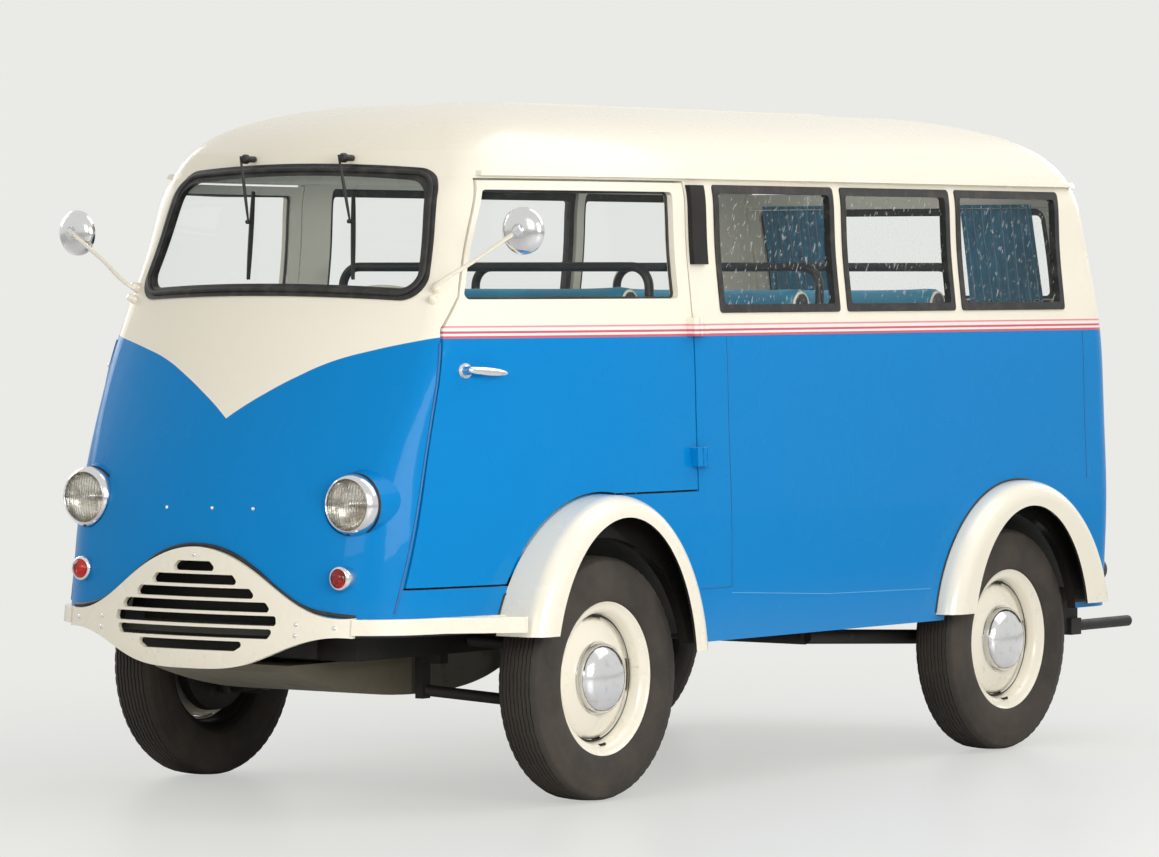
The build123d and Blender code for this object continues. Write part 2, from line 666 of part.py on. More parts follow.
# ---------------------------------------------------------------------------
# Interior
# ---------------------------------------------------------------------------
dash = body_form(WALL + 0.5) & box(-500, 500, -FAR, -430, 1240, 1385)
save("dashboard", dash)

SEAT_HALF = 640
CAB_SEAT_HALF = 560
CAB_BACK, MIDDLE_BACK, REAR_BACK = 440, 1200, 1950    # stations of the seat backs
BACK_DEPTH = 120
BACK_REACH = 30      # how far a seat back reaches behind its station
CUSHION_DEPTH = 520
CUSHION_THICK = 130


SEAT_HEIGHT = 930
SEAT_TOP = 1432
CAB_SEAT_TOP = 1440
PLINTH_HALF = 540    # the box under a passenger bench


def bench(back_station, half, foot, seat_height, top):
    back_front = back_station + BACK_REACH - BACK_DEPTH
    front = back_station - CUSHION_DEPTH
    cushion = box(-half, half, front, back_front, foot, seat_height)
    back = box(-half, half, back_front, back_station + BACK_REACH, foot, top)
    return cushion + back


def bench_on_floor(back_station):
    plinth = box(-PLINTH_HALF, PLINTH_HALF, back_station - CUSHION_DEPTH + 60, back_station,
                 FLOOR_TOP + SEATED, SEAT_HEIGHT - CUSHION_THICK)
    return plinth + bench(back_station, SEAT_HALF, SEAT_HEIGHT - CUSHION_THICK, SEAT_HEIGHT, SEAT_TOP)


save("cab_seat", bench(CAB_BACK, CAB_SEAT_HALF, COVER_TOP + SEATED, COVER_TOP + CUSHION_THICK, CAB_SEAT_TOP))
save("middle_seat", bench_on_floor(MIDDLE_BACK))
save("rear_seat", bench_on_floor(REAR_BACK))

rails = []
RAIL_RADIUS = 13.5
for station, half in ((CAB_BACK, CAB_SEAT_HALF), (MIDDLE_BACK, SEAT_HALF), (REAR_BACK, SEAT_HALF)):
    station += BACK_REACH + RAIL_RADIUS + SEATED
    rails.append(tube_path([(-half, station, 1300), (-half, station, 1490), (half, station, 1490),
                            (half, station, 1300)], 60, RAIL_RADIUS))
save("grab_rails", *rails)

STEERING_CENTRE = (270, -220, 1330)
STEERING_RADIUS = 195
tilt = math.radians(30)
down = Vector(0, -math.sin(tilt), -math.cos(tilt))
hub = point(*STEERING_CENTRE)
rim_plane = Plane(origin=hub, x_dir=(1, 0, 0), z_dir=-down)
steering = rim_plane * Torus(STEERING_RADIUS, 12)
for turn in (90, 210, 330):
    steering += rim_plane * (Rot(0, 0, turn) * (Rot(0, 90, 0) * Cylinder(
        8, STEERING_RADIUS, align=(Align.CENTER, Align.CENTER, Align.MIN))))
column = Plane(origin=hub - down * 12, z_dir=down) * Cylinder(
    20, 1000, align=(Align.CENTER, Align.CENTER, Align.MIN))
steering = (steering + column) - box(-FAR, FAR, -FAR, FAR, 0, FLOOR_TOP)
save("steering_wheel", steering)

# ---------------------------------------------------------------------------
# Underside
# ---------------------------------------------------------------------------
RAIL_X = 350
RAIL_HALF = 30
FRAME_FOOT = 410
FRAME_TOP = FLOOR_TOP - FLOOR_THICK
LOWER_ARM_FACE = 288         # where the lower arms meet their brackets
TOW_TUBE_X = 650
TOW_TUBE_Z = 352
TOW_TUBE_RADIUS = 17.5
TOW_TUBE_ROOT = 2690         # where the free end leaves its bracket
chassis = box(-RAIL_X, RAIL_X, -640, -600, FRAME_FOOT, FRAME_TOP)
for x in (-RAIL_X, RAIL_X):
    chassis += box(x - RAIL_HALF, x + RAIL_HALF, -640, 2600, FRAME_FOOT, FRAME_TOP)
for y in (560, 1250, 1700, 2545):
    chassis += box(-RAIL_X, RAIL_X, y - 30, y + 30, FRAME_FOOT + 12, FRAME_TOP)
chassis_side = box(RAIL_X, TOW_TUBE_X, 2530, 2575, 440, FRAME_TOP)
chassis_side += box(TOW_TUBE_X - 12, TOW_TUBE_X + 12, 2545, TOW_TUBE_ROOT, 330, FRAME_TOP)
chassis_side += box(TOW_TUBE_X - 26, TOW_TUBE_X + 26, TOW_TUBE_ROOT - 60, TOW_TUBE_ROOT, 326, 378)
chassis_side += rod((TOW_TUBE_X, TOW_TUBE_ROOT, TOW_TUBE_Z), (TOW_TUBE_X, REAR_REACH, TOW_TUBE_Z),
                    TOW_TUBE_RADIUS)
for y in (-210, 210):
    chassis_side += box(LOWER_ARM_FACE - 26, RAIL_X, y - 18, y + 18, FRAME_FOOT - 30, FRAME_FOOT + 20)
    chassis_side += box(LOWER_ARM_FACE - 26, LOWER_ARM_FACE, y - 18, y + 18, 280, FRAME_FOOT)
chassis_side += box(RAIL_X, 532, -22, 22, 464, FRAME_TOP - 2)
chassis += chassis_side + flip(chassis_side)
chassis += box(-60, 60, -610, ENGINE_FRONT, 420, 470)
chassis += box(-RAIL_X, RAIL_X, ENGINE_BACK, ENGINE_BACK + 40, FRAME_FOOT + 12, FRAME_TOP)
save("chassis", chassis)

engine = box(-ENGINE_HALF, ENGINE_HALF, ENGINE_FRONT, ENGINE_BACK, ENGINE_FOOT, ENGINE_TOP)
save("engine", engine)
PAN_HALF = 240
PAN_TOP = ENGINE_FOOT - SEATED
pan_side = make_face(Wire([
    *Polyline((-760, PAN_TOP), (-760, 380)).edges(),
    *Spline((-760, 380), (-480, 312), (-150, 290), (160, 330), (300, 396)).edges(),
    *Polyline((300, 396), (300, PAN_TOP), (-760, PAN_TOP)).edges()]))
pan = side_prism(pan_side, -PAN_HALF, PAN_HALF)
save("undertray", pan)

ARM_LOW, ARM_HIGH = 262, 424
EYE_HEIGHT = 34
KNUCKLE_GAP = 6
arms = Part()
for height, inner_x, spread, rise in ((ARM_LOW, 270, 210, 42), (ARM_HIGH, 340, 150, 22)):
    for sign in (-1, 1):
        arms += rod((inner_x, sign * spread, height + rise), (STEER_PIN_X - 20, sign * 4, height), 16)
    arms += at(STEER_PIN_X, 0, height) * Cylinder(30, EYE_HEIGHT)
arms -= box(0, LOWER_ARM_FACE, -400, 400, 0, 360)
arms -= box(0, RAIL_X + RAIL_HALF, -400, 400, 360, 600)
arms += rod((500, 0, 268), (500, 0, 464), 30)
arms += rod((480, 0, ARM_LOW), (STEER_PIN_X - 20, 0, ARM_LOW), 14)
arms -= at(STEER_PIN_X, 0, 380) * Cylinder(PIN_RADIUS + RUNNING_CLEARANCE, 400)
save("front_suspension", *both(arms))

pin_middle = (ARM_LOW + ARM_HIGH) / 2
knuckle = at(STEER_PIN_X, 0, pin_middle) * Cylinder(PIN_RADIUS, ARM_HIGH - ARM_LOW + EYE_HEIGHT)
knuckle += at(STEER_PIN_X, 0, pin_middle) * Cylinder(27, ARM_HIGH - ARM_LOW - EYE_HEIGHT - 2 * KNUCKLE_GAP)
knuckle += rod((STEER_PIN_X, 0, TYRE_RADIUS), (HUB_X + 24, 0, TYRE_RADIUS), AXLE_RADIUS)
save("knuckle_left", knuckle)
save("knuckle_right", flip(knuckle))

rear_axle = Part()
for sign in (-1, 1):
    rear_axle += rod((sign * (HUB_X + 24), WHEELBASE, TYRE_RADIUS), (sign * 520, WHEELBASE, TYRE_RADIUS), AXLE_RADIUS)
    rear_axle += rod((sign * 560, 1290, 386), (sign * 560, WHEELBASE, TYRE_RADIUS), 22)
rear_axle += rod((-560, 1290, 386), (560, 1290, 386), 24)
save("rear_axle", rear_axle)

exhaust = rod((60, 480, 362), (60, 900, 362), 20) + rod((60, 880, 362), (60, 1230, 362), 52)
for y in (560, 1225):
    exhaust += box(50, 70, y - 4, y + 4, 370, FRAME_FOOT + 12)
save("exhaust", exhaust)
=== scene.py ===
import math

import bmesh
import bpy
from mathutils import Euler, Matrix, Vector
from mathutils.bvhtree import BVHTree


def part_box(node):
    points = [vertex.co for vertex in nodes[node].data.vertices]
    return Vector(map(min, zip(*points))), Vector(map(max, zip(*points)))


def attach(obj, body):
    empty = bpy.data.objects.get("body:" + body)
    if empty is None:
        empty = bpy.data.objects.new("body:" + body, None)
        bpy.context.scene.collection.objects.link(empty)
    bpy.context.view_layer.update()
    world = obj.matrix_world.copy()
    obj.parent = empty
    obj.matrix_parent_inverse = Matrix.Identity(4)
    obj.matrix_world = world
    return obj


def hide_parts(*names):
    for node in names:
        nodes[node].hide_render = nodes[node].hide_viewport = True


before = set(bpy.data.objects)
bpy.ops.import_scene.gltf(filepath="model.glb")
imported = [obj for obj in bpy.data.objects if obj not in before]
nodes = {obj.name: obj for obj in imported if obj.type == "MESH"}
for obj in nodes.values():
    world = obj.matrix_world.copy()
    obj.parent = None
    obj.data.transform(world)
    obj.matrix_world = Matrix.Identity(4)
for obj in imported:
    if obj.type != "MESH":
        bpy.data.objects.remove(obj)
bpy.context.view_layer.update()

# --- Places taken from the frame, metres. Stations run back from the front axle. ---


def centre_of(node):
    low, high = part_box(node)
    return (low + high) / 2


FRONT_AXLE = centre_of("tyre_front_left").y
REAR_AXLE = centre_of("tyre_rear_left").y
WHEEL_HEIGHT = centre_of("tyre_front_left").z
ACROSS = Vector((1, 0, 0))
BACK = Vector((0, 1, 0))
AHEAD = Vector((0, -1, 0))
WHEELS = [(end, side) for end in ("front", "rear") for side in ("left", "right")]


def at(x, station, height):
    return Vector((x, station + FRONT_AXLE, height))


def surface_tree(names):
    verts, faces = [], []
    for name in names:
        mesh = nodes[name].data
        start = len(verts)
        verts += [v.co.copy() for v in mesh.vertices]
        faces += [tuple(start + i for i in p.vertices) for p in mesh.polygons]
    return BVHTree.FromPolygons(verts, faces)


BODY_NODES = ["front_panel", "side_panels", "roof", "rear_panel", "door_left", "door_right", "tailgate"]
skin_tree = surface_tree(BODY_NODES)


def on_skin(start, direction, tree=skin_tree):
    """Where a ray from a point meets the body, with the outward normal there."""
    hit, normal, _, _ = tree.ray_cast(start, direction)
    if hit is None:
        return None, None
    if normal.dot(direction) > 0:
        normal = -normal
    return hit, normal


# --- Material helper ---
def srgb(red, green, blue):
    """Linear colour from 0-255 display values."""
    def channel(value):
        value /= 255
        return value / 12.92 if value <= 0.04045 else ((value + 0.055) / 1.055) ** 2.4
    return (channel(red), channel(green), channel(blue), 1.0)


class Shader:
    """A Principled material with short calls for the nodes round it."""

    def __init__(self, name, colour=(0.5, 0.5, 0.5, 1), **values):
        self.material = bpy.data.materials.new(name)
        self.material.use_nodes = True
        self.tree = self.material.node_tree
        self.bsdf = self.tree.nodes["Principled BSDF"]
        self.bsdf.inputs["Base Color"].default_value = colour
        for key, value in values.items():
            self.bsdf.inputs[key.replace("_", " ")].default_value = value
        self.place = self.tree.nodes.new("ShaderNodeTexCoord")
        self.object = self.place.outputs["Object"]
        self.axes = self.add("ShaderNodeSeparateXYZ", {0: self.object}).outputs
        self.normal = self.add("ShaderNodeSeparateXYZ", {0: self.place.outputs["Normal"]}).outputs

    def add(self, kind, inputs=None, **settings):
        node = self.tree.nodes.new(kind)
        for key, value in settings.items():
            setattr(node, key, value)
        for key, value in (inputs or {}).items():
            if isinstance(value, bpy.types.NodeSocket):
                self.tree.links.new(value, node.inputs[key])
            else:
                node.inputs[key].default_value = value
        return node

    def math(self, operation, a, b=0.0, c=0.0):
        return self.add("ShaderNodeMath", {0: a, 1: b, 2: c}, operation=operation).outputs[0]

    def step(self, value, low, high):
        """0 at low, 1 at high, smooth between."""
        return self.add("ShaderNodeMapRange", {0: value, 1: low, 2: high},
                        interpolation_type="SMOOTHSTEP").outputs[0]

    def mix(self, share, a, b):
        return self.add("ShaderNodeMix", {0: share, 6: a, 7: b}, data_type="RGBA").outputs[2]

    def noise(self, scale, detail=3.0, roughness=0.55, coordinate=None, stretch=None):
        coordinate = coordinate or self.object
        if stretch:
            coordinate = self.add("ShaderNodeVectorMath", {0: coordinate, 1: stretch},
                                  operation="MULTIPLY").outputs[0]
        return self.add("ShaderNodeTexNoise", {"Vector": coordinate, "Scale": scale,
                                               "Detail": detail, "Roughness": roughness}).outputs[0]

    def cells(self, scale, feature="F1", coordinate=None):
        return self.add("ShaderNodeTexVoronoi", {"Vector": coordinate or self.object, "Scale": scale},
                        feature=feature).outputs["Distance"]

    def colour(self, socket):
        self.tree.links.new(socket, self.bsdf.inputs["Base Color"])

    def roughness(self, socket, low, high):
        spread = self.add("ShaderNodeMapRange", {0: socket, 3: low, 4: high}).outputs[0]
        self.tree.links.new(spread, self.bsdf.inputs["Roughness"])

    def bump(self, height, distance, strength=1.0, under=None):
        inputs = {"Height": height, "Distance": distance, "Strength": strength}
        if under:
            inputs["Normal"] = under
        normal = self.add("ShaderNodeBump", inputs).outputs[0]
        self.tree.links.new(normal, self.bsdf.inputs["Normal"])
        return normal


BLUE = srgb(0, 128, 197)
CREAM = srgb(242, 235, 217)
CREAM_DEEP = srgb(232, 222, 199)
STRIPE_RED = srgb(206, 98, 112)
STRIPE_PALE = srgb(226, 150, 158)
STRIPE_WHITE = srgb(246, 232, 226)
TRIM_GREY = srgb(196, 192, 178)
TEAL = srgb(14, 104, 132)
GRIME = srgb(92, 84, 70)
# Black underseal; the same black is also painted shade behind the grille slots.
UNDERSEAL_AND_GRILLE_SHADE = srgb(24, 23, 22)


def paint_finish(shader, top, orange_peel=0.00012):
    """Old gloss coat: even roughness with smudges, a little ripple and dust low down."""
    height = shader.axes["Z"]
    smudge = shader.noise(3.2, 5.0)
    fine = shader.noise(34.0, 4.0)
    worn = shader.math("MULTIPLY", shader.step(fine, 0.62, 0.76), shader.step(height, 0.56, 0.42))
    dust = shader.math("MULTIPLY", shader.step(height, 0.62, 0.38), 0.03)
    faded = shader.mix(shader.math("MULTIPLY", shader.step(smudge, 0.35, 0.8), 0.002), top, STRIPE_WHITE)
    dusty = shader.mix(dust, faded, CREAM_DEEP)
    shader.colour(shader.mix(shader.math("MULTIPLY", worn, 0.22), dusty, GRIME))
    shader.roughness(smudge, 0.20, 0.34)
    ripple = shader.noise(7.0, 1.0)
    first = shader.bump(ripple, 0.004, 0.25)
    shader.bump(shader.noise(420.0, 1.0), orange_peel, 0.5, under=first)


def inward(shader, station, height, station_share=1.0):
    """1 on faces that look towards a middle line at this station and height."""
    axes, normal = shader.axes, shader.normal
    across = shader.math("MULTIPLY", normal["X"], axes["X"])
    length = shader.math("MULTIPLY", shader.math("SUBTRACT", axes["Y"], station), station_share)
    along = shader.math("MULTIPLY", normal["Y"], length)
    upward = shader.math("MULTIPLY", normal["Z"], shader.math("SUBTRACT", axes["Z"], height))
    outward = shader.math("ADD", shader.math("ADD", across, along), upward)
    return shader.step(outward, 0.02, -0.02)


def inner_mask(shader):
    """1 on faces that look into the cab, from the piece's own normals."""
    return inward(shader, 0.0, 1.2, 0.3)


def belt_colours(shader):
    """Cream over blue, with three red lines of different widths between them."""
    height = shader.axes["Z"]
    soft = 0.0006
    tone = BLUE
    for edge, colour in BELT_LINES:
        tone = shader.mix(shader.step(height, edge - soft, edge + soft), tone, colour)
    return tone


# where each colour of the belt starts, going up
BELT_LINES = [(1.2930, STRIPE_RED), (1.3000, STRIPE_WHITE), (1.3065, STRIPE_RED), (1.3130, STRIPE_WHITE),
              (1.3225, STRIPE_PALE), (1.3275, CREAM)]
WELL_RADIUS = 0.3935


def wheel_well_mask(shader):
    """1 inside the two round wheel openings."""
    height = shader.math("SUBTRACT", shader.axes["Z"], WHEEL_HEIGHT)
    masks = []
    for station in (FRONT_AXLE, REAR_AXLE):
        along = shader.math("SUBTRACT", shader.axes["Y"], station)
        squares = shader.math("MULTIPLY_ADD", along, along, shader.math("MULTIPLY", height, height))
        masks.append(shader.step(squares, WELL_RADIUS ** 2, (WELL_RADIUS - 0.001) ** 2))
    return shader.math("MAXIMUM", masks[0], masks[1])


# The body skin behind each fender: station, half length, height of the crown and of its feet
BEHIND_FENDERS = [(FRONT_AXLE + 0.008, 0.417, 0.504, 0.478, 0.403),
                  (REAR_AXLE + 0.036, 0.468, 0.482, 0.438, 0.438)]


def behind_fenders(shader):
    """1 on the body's skin under the fenders' crowns."""
    height = shader.axes["Z"]
    masks = []
    for station, half, rise, foot_front, foot_rear in BEHIND_FENDERS:
        along = shader.math("DIVIDE", shader.math("SUBTRACT", shader.axes["Y"], station), half)
        upward = shader.math("DIVIDE", shader.math("SUBTRACT", height, WHEEL_HEIGHT), rise)
        squares = shader.math("MULTIPLY_ADD", along, along, shader.math("MULTIPLY", upward, upward))
        inside = shader.step(squares, 1.0, 0.995)
        behind = shader.step(along, -0.001, 0.001)
        foot = shader.math("MULTIPLY_ADD", behind, foot_rear - foot_front, foot_front)
        above = shader.step(shader.math("SUBTRACT", height, foot), -0.001, 0.001)
        masks.append(shader.math("MULTIPLY", inside, above))
    return shader.math("MAXIMUM", masks[0], masks[1])


def cream_tone(shader):
    return shader.mix(shader.math("MULTIPLY", shader.noise(2.1, 3.0), 0.25), CREAM, CREAM_DEEP)


def fender_paint(name, station):
    """Cream outside and black underseal on the faces that look at the wheel."""
    shader = Shader(name, Roughness=0.28, Coat_Weight=0.5, Coat_Roughness=0.07)
    paint_finish(shader, shader.mix(inward(shader, station, WHEEL_HEIGHT), cream_tone(shader), UNDERSEAL_AND_GRILLE_SHADE))
    return shader.material


def blue_enamel(name):
    return Shader(name, Roughness=0.3, Coat_Weight=0.14, Coat_Roughness=0.02, Specular_IOR_Level=0.06)


def side_paint():
    shader = blue_enamel("paint_sides")
    top = shader.mix(inner_mask(shader), belt_colours(shader), TRIM_GREY)
    top = shader.mix(shader.math("MAXIMUM", wheel_well_mask(shader), behind_fenders(shader)), top, UNDERSEAL_AND_GRILLE_SHADE)
    paint_finish(shader, top)
    return shader.material


def lamp_pod_mask(shader):
    """1 round both headlamps, whose bores stay in the body colour."""
    low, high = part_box("headlamps")
    across = shader.math("SUBTRACT", shader.math("ABSOLUTE", shader.axes["X"]), high.x - 0.084)
    upward = shader.math("SUBTRACT", shader.axes["Z"], (low.z + high.z) / 2)
    squares = shader.math("MULTIPLY_ADD", across, across, shader.math("MULTIPLY", upward, upward))
    return shader.step(squares, 0.0200, 0.0196)


def grille_hole_shade_mask(shader):
    """1 on the nose behind the slotted panel, a little inside its outline, where black is painted shade for
    the dark space seen through the slots.
    """
    across = shader.math("ABSOLUTE", shader.axes["X"])
    height = shader.axes["Z"]
    outline = shader.math("MINIMUM", shader.math("MULTIPLY_ADD", across, -0.588, 0.7587), 0.697)
    below = shader.step(shader.math("SUBTRACT", height, outline), 0.001, -0.001)
    above = shader.step(height, 0.419, 0.421)
    narrow = shader.step(across, 0.311, 0.309)
    return shader.math("MULTIPLY", shader.math("MULTIPLY", below, above), narrow)


NOSE_V = [(0.0, 1.072), (0.02, 1.086), (0.05, 1.106), (0.12, 1.147), (0.19, 1.184),
          (0.30, 1.232), (0.41, 1.262), (0.52, 1.286), (0.60, 1.300)]
V_SPAN = 0.7
V_FOOT, V_RISE = 1.0, 0.4


def nose_paint():
    shader = blue_enamel("paint_nose")
    curve = shader.add("ShaderNodeFloatCurve",
                       {1: shader.math("DIVIDE", shader.math("ABSOLUTE", shader.axes["X"]), V_SPAN)})
    line = curve.mapping.curves[0]
    for across, height in NOSE_V[1:-1]:
        line.points.new(across / V_SPAN, (height - V_FOOT) / V_RISE)
    line.points[0].location = (0.0, (NOSE_V[0][1] - V_FOOT) / V_RISE)
    line.points[-1].location = (1.0, (NOSE_V[-1][1] + 0.02 - V_FOOT) / V_RISE)
    line.points[0].handle_type = line.points[1].handle_type = "VECTOR"
    curve.mapping.update()
    edge = shader.math("MULTIPLY_ADD", curve.outputs[0], V_RISE, V_FOOT)
    above = shader.step(shader.math("SUBTRACT", shader.axes["Z"], edge), -0.0006, 0.0006)
    top = shader.mix(above, BLUE, CREAM)
    inside = shader.math("MULTIPLY", inner_mask(shader), shader.math("SUBTRACT", 1.0, lamp_pod_mask(shader)))
    top = shader.mix(inside, top, TRIM_GREY)
    # Black underseal behind the fenders; black painted shade behind the grille slots.
    dark = shader.math("MAXIMUM", behind_fenders(shader), grille_hole_shade_mask(shader))
    paint_finish(shader, shader.mix(dark, top, UNDERSEAL_AND_GRILLE_SHADE))
    return shader.material


def cream_paint(name, inside=False):
    shader = Shader(name, Roughness=0.28, Coat_Weight=0.35 if inside else 0.5,
                    Coat_Roughness=0.20 if inside else 0.07)
    tone = cream_tone(shader)
    if inside:
        tone = shader.mix(inner_mask(shader), tone, TRIM_GREY)
    paint_finish(shader, tone)
    return shader.material


def chrome(name="chrome_polished"):
    shader = Shader(name, srgb(226, 226, 228), Metallic=1.0, Roughness=0.14)
    haze = shader.noise(38.0, 5.0)
    shader.colour(shader.mix(shader.math("MULTIPLY", shader.step(haze, 0.55, 0.75), 0.25),
                             srgb(226, 226, 228), srgb(150, 142, 130)))
    shader.roughness(haze, 0.08, 0.24)
    shader.bump(shader.noise(160.0, 2.0), 0.0001, 0.3)
    return shader.material


def rubber(name, colour=(22, 22, 22), rough=(0.42, 0.62)):
    shader = Shader(name, srgb(*colour), Roughness=0.5)
    mottled = shader.noise(26.0, 5.0)
    shader.colour(shader.mix(shader.step(mottled, 0.4, 0.8), srgb(*colour), srgb(62, 58, 52)))
    shader.roughness(mottled, *rough)
    shader.bump(shader.noise(300.0, 3.0), 0.0003, 0.5)
    return shader.material


def glass_pane(name, painted_flecks):
    """Thin clear glass with a faint haze; white flecks along slanted streaks are painted reflections, strong
    on the vehicle's left side of the flecked panes and faint on the others.
    """
    shader = Shader(name, (0.97, 0.99, 0.98, 1), Roughness=0.0, IOR=1.45, Transmission_Weight=1.0)
    output = shader.tree.nodes["Material Output"]
    clear = shader.add("ShaderNodeBsdfTransparent", {0: (0.985, 0.992, 0.99, 1)})
    gloss = shader.add("ShaderNodeBsdfGlossy", {"Color": (1, 1, 1, 1), "Roughness": 0.02})
    leaving = shader.add("ShaderNodeNewGeometry").outputs["Backfacing"]
    mirror = shader.add("ShaderNodeFresnel", {"IOR": 1.45}).outputs[0]
    entering = shader.math("SUBTRACT", 1.0, leaving)
    edge = shader.math("MULTIPLY", shader.math("MULTIPLY", mirror, 0.5), entering)
    thin = shader.add("ShaderNodeMixShader", {0: edge, 1: clear.outputs[0], 2: gloss.outputs[0]})
    dull = shader.add("ShaderNodeBsdfDiffuse", {"Color": srgb(250, 250, 248)})
    lit_through = shader.add("ShaderNodeBsdfTranslucent", {"Color": srgb(250, 250, 248)})
    haze_and_painted_reflection = shader.add("ShaderNodeMixShader", {0: 0.5, 1: dull.outputs[0], 2: lit_through.outputs[0]})
    slant = shader.add("ShaderNodeVectorRotate", {0: shader.object, "Angle": 0.55}, rotation_type="X_AXIS")
    reflection_streak = shader.noise(115.0, 1.0, coordinate=slant.outputs[0], stretch=(1.0, 0.9, 0.32))
    low, high = (0.65, 0.72) if painted_flecks else (0.76, 0.86)
    near_side = shader.step(shader.axes["X"], 0.30, 0.32) if painted_flecks else 1.0
    # Painted reflections: white flecks where the slanted streak noise is high.
    share = shader.math("MULTIPLY", shader.step(reflection_streak, low, high),
                        shader.math("MULTIPLY", near_side, 0.30 if painted_flecks else 0.05))
    haze = shader.math("MULTIPLY", shader.noise(4.0, 3.0), 0.004)
    total = shader.math("ADD", share, haze)
    mixed = shader.add("ShaderNodeMixShader", {0: total, 1: thin.outputs[0], 2: haze_and_painted_reflection.outputs[0]})
    shader.tree.links.new(mixed.outputs[0], output.inputs[0])
    return shader.material


def tyre_material():
    """Old rubber: near black on the tread, greyed and dusty on the walls."""
    dark, dusty = srgb(52, 48, 44), srgb(90, 81, 72)
    shader = Shader("tyre_worn", dark, Roughness=0.75, Specular_IOR_Level=0.3)
    patch = shader.noise(5.0, 5.0, 0.6)
    grain = shader.noise(120.0, 3.0)
    wall = shader.step(shader.math("ABSOLUTE", shader.normal["X"]), 0.35, 0.9)
    share = shader.math("MULTIPLY_ADD", wall, 0.45, 0.12)
    tone = shader.mix(shader.math("MULTIPLY", shader.step(patch, 0.30, 0.75), share), dark, dusty)
    tone = shader.mix(shader.math("MULTIPLY", shader.step(grain, 0.55, 0.8), 0.16), tone, srgb(108, 98, 87))
    shader.colour(tone)
    shader.roughness(patch, 0.62, 0.86)
    shader.bump(shader.noise(240.0, 4.0), 0.0006, 0.5)
    return shader.material


def vinyl(name, colour, lighter=None, ends=None, grain=300.0):
    """Grained vinyl, faded in patches; ends is the colour of the faces that look along x."""
    shader = Shader(name, srgb(*colour), Roughness=0.42, Sheen_Weight=0.08)
    fade = shader.noise(5.0, 4.0)
    lighter = lighter or [min(255, c + 26) for c in colour]
    tone = shader.mix(shader.step(fade, 0.35, 0.75), srgb(*colour), srgb(*lighter))
    if ends:
        at_end = shader.step(shader.math("ABSOLUTE", shader.normal["X"]), 0.70, 0.72)
        tone = shader.mix(at_end, tone, srgb(*ends))
    shader.colour(tone)
    shader.roughness(fade, 0.36, 0.52)
    shader.bump(shader.cells(grain, "DISTANCE_TO_EDGE"), 0.0006, 0.5)
    return shader.material


def curtain_cloth():
    shader = Shader("curtain_teal", TEAL, Roughness=0.85, Sheen_Weight=0.35)
    warp = shader.add("ShaderNodeTexWave", {"Vector": shader.object, "Scale": 520.0}, bands_direction="X")
    weft = shader.add("ShaderNodeTexWave", {"Vector": shader.object, "Scale": 520.0}, bands_direction="Z")
    weave = shader.math("ADD", warp.outputs["Fac"], weft.outputs["Fac"])
    slub = shader.noise(60.0, 4.0, stretch=(1.0, 1.0, 0.15))
    shader.colour(shader.mix(shader.step(slub, 0.35, 0.75), srgb(2, 92, 118), srgb(8, 112, 140)))
    shader.bump(weave, 0.0004, 0.5)
    return shader.material


def metal_paint(name, colour, worn=(120, 98, 76), amount=0.3, rough=(0.4, 0.7)):
    """Workaday paint on iron: dusty, with scuffs through to a second colour."""
    shader = Shader(name, srgb(*colour), Roughness=0.5)
    patch = shader.noise(14.0, 6.0, 0.6)
    dust = shader.noise(3.0, 3.0)
    tone = shader.mix(shader.math("MULTIPLY", shader.step(dust, 0.3, 0.8), 0.12), srgb(*colour), GRIME)
    shader.colour(shader.mix(shader.math("MULTIPLY", shader.step(patch, 0.58, 0.72), amount),
                             tone, srgb(*worn)))
    shader.roughness(patch, *rough)
    shader.bump(shader.noise(120.0, 4.0), 0.0006, 0.5)
    return shader.material


def rusty(name):
    shader = Shader(name, srgb(120, 70, 40), Roughness=0.85)
    patch = shader.noise(22.0, 8.0, 0.65)
    fine = shader.noise(120.0, 4.0)
    tone = shader.mix(shader.step(patch, 0.35, 0.65), srgb(70, 44, 30), srgb(150, 92, 54))
    shader.colour(shader.mix(shader.step(fine, 0.55, 0.8), tone, srgb(178, 122, 80)))
    shader.roughness(patch, 0.7, 0.95)
    shader.bump(patch, 0.002, 0.7)
    return shader.material


def lens_glass(name, colour, rough=0.04):
    shader = Shader(name, colour, Roughness=rough, IOR=1.49, Transmission_Weight=1.0)
    flute = shader.noise(60.0, 2.0)
    shader.bump(flute, 0.0004, 0.4)
    shader.roughness(flute, rough * 0.5, rough * 2)
    return shader.material


def bright_reflector():
    shader = Shader("reflector_silver", srgb(222, 220, 212), Metallic=1.0, Roughness=0.12)
    haze = shader.noise(30.0, 4.0)
    shader.roughness(haze, 0.08, 0.22)
    shader.colour(shader.mix(shader.step(haze, 0.38, 0.66), srgb(226, 222, 212), srgb(142, 132, 116)))
    return shader.material


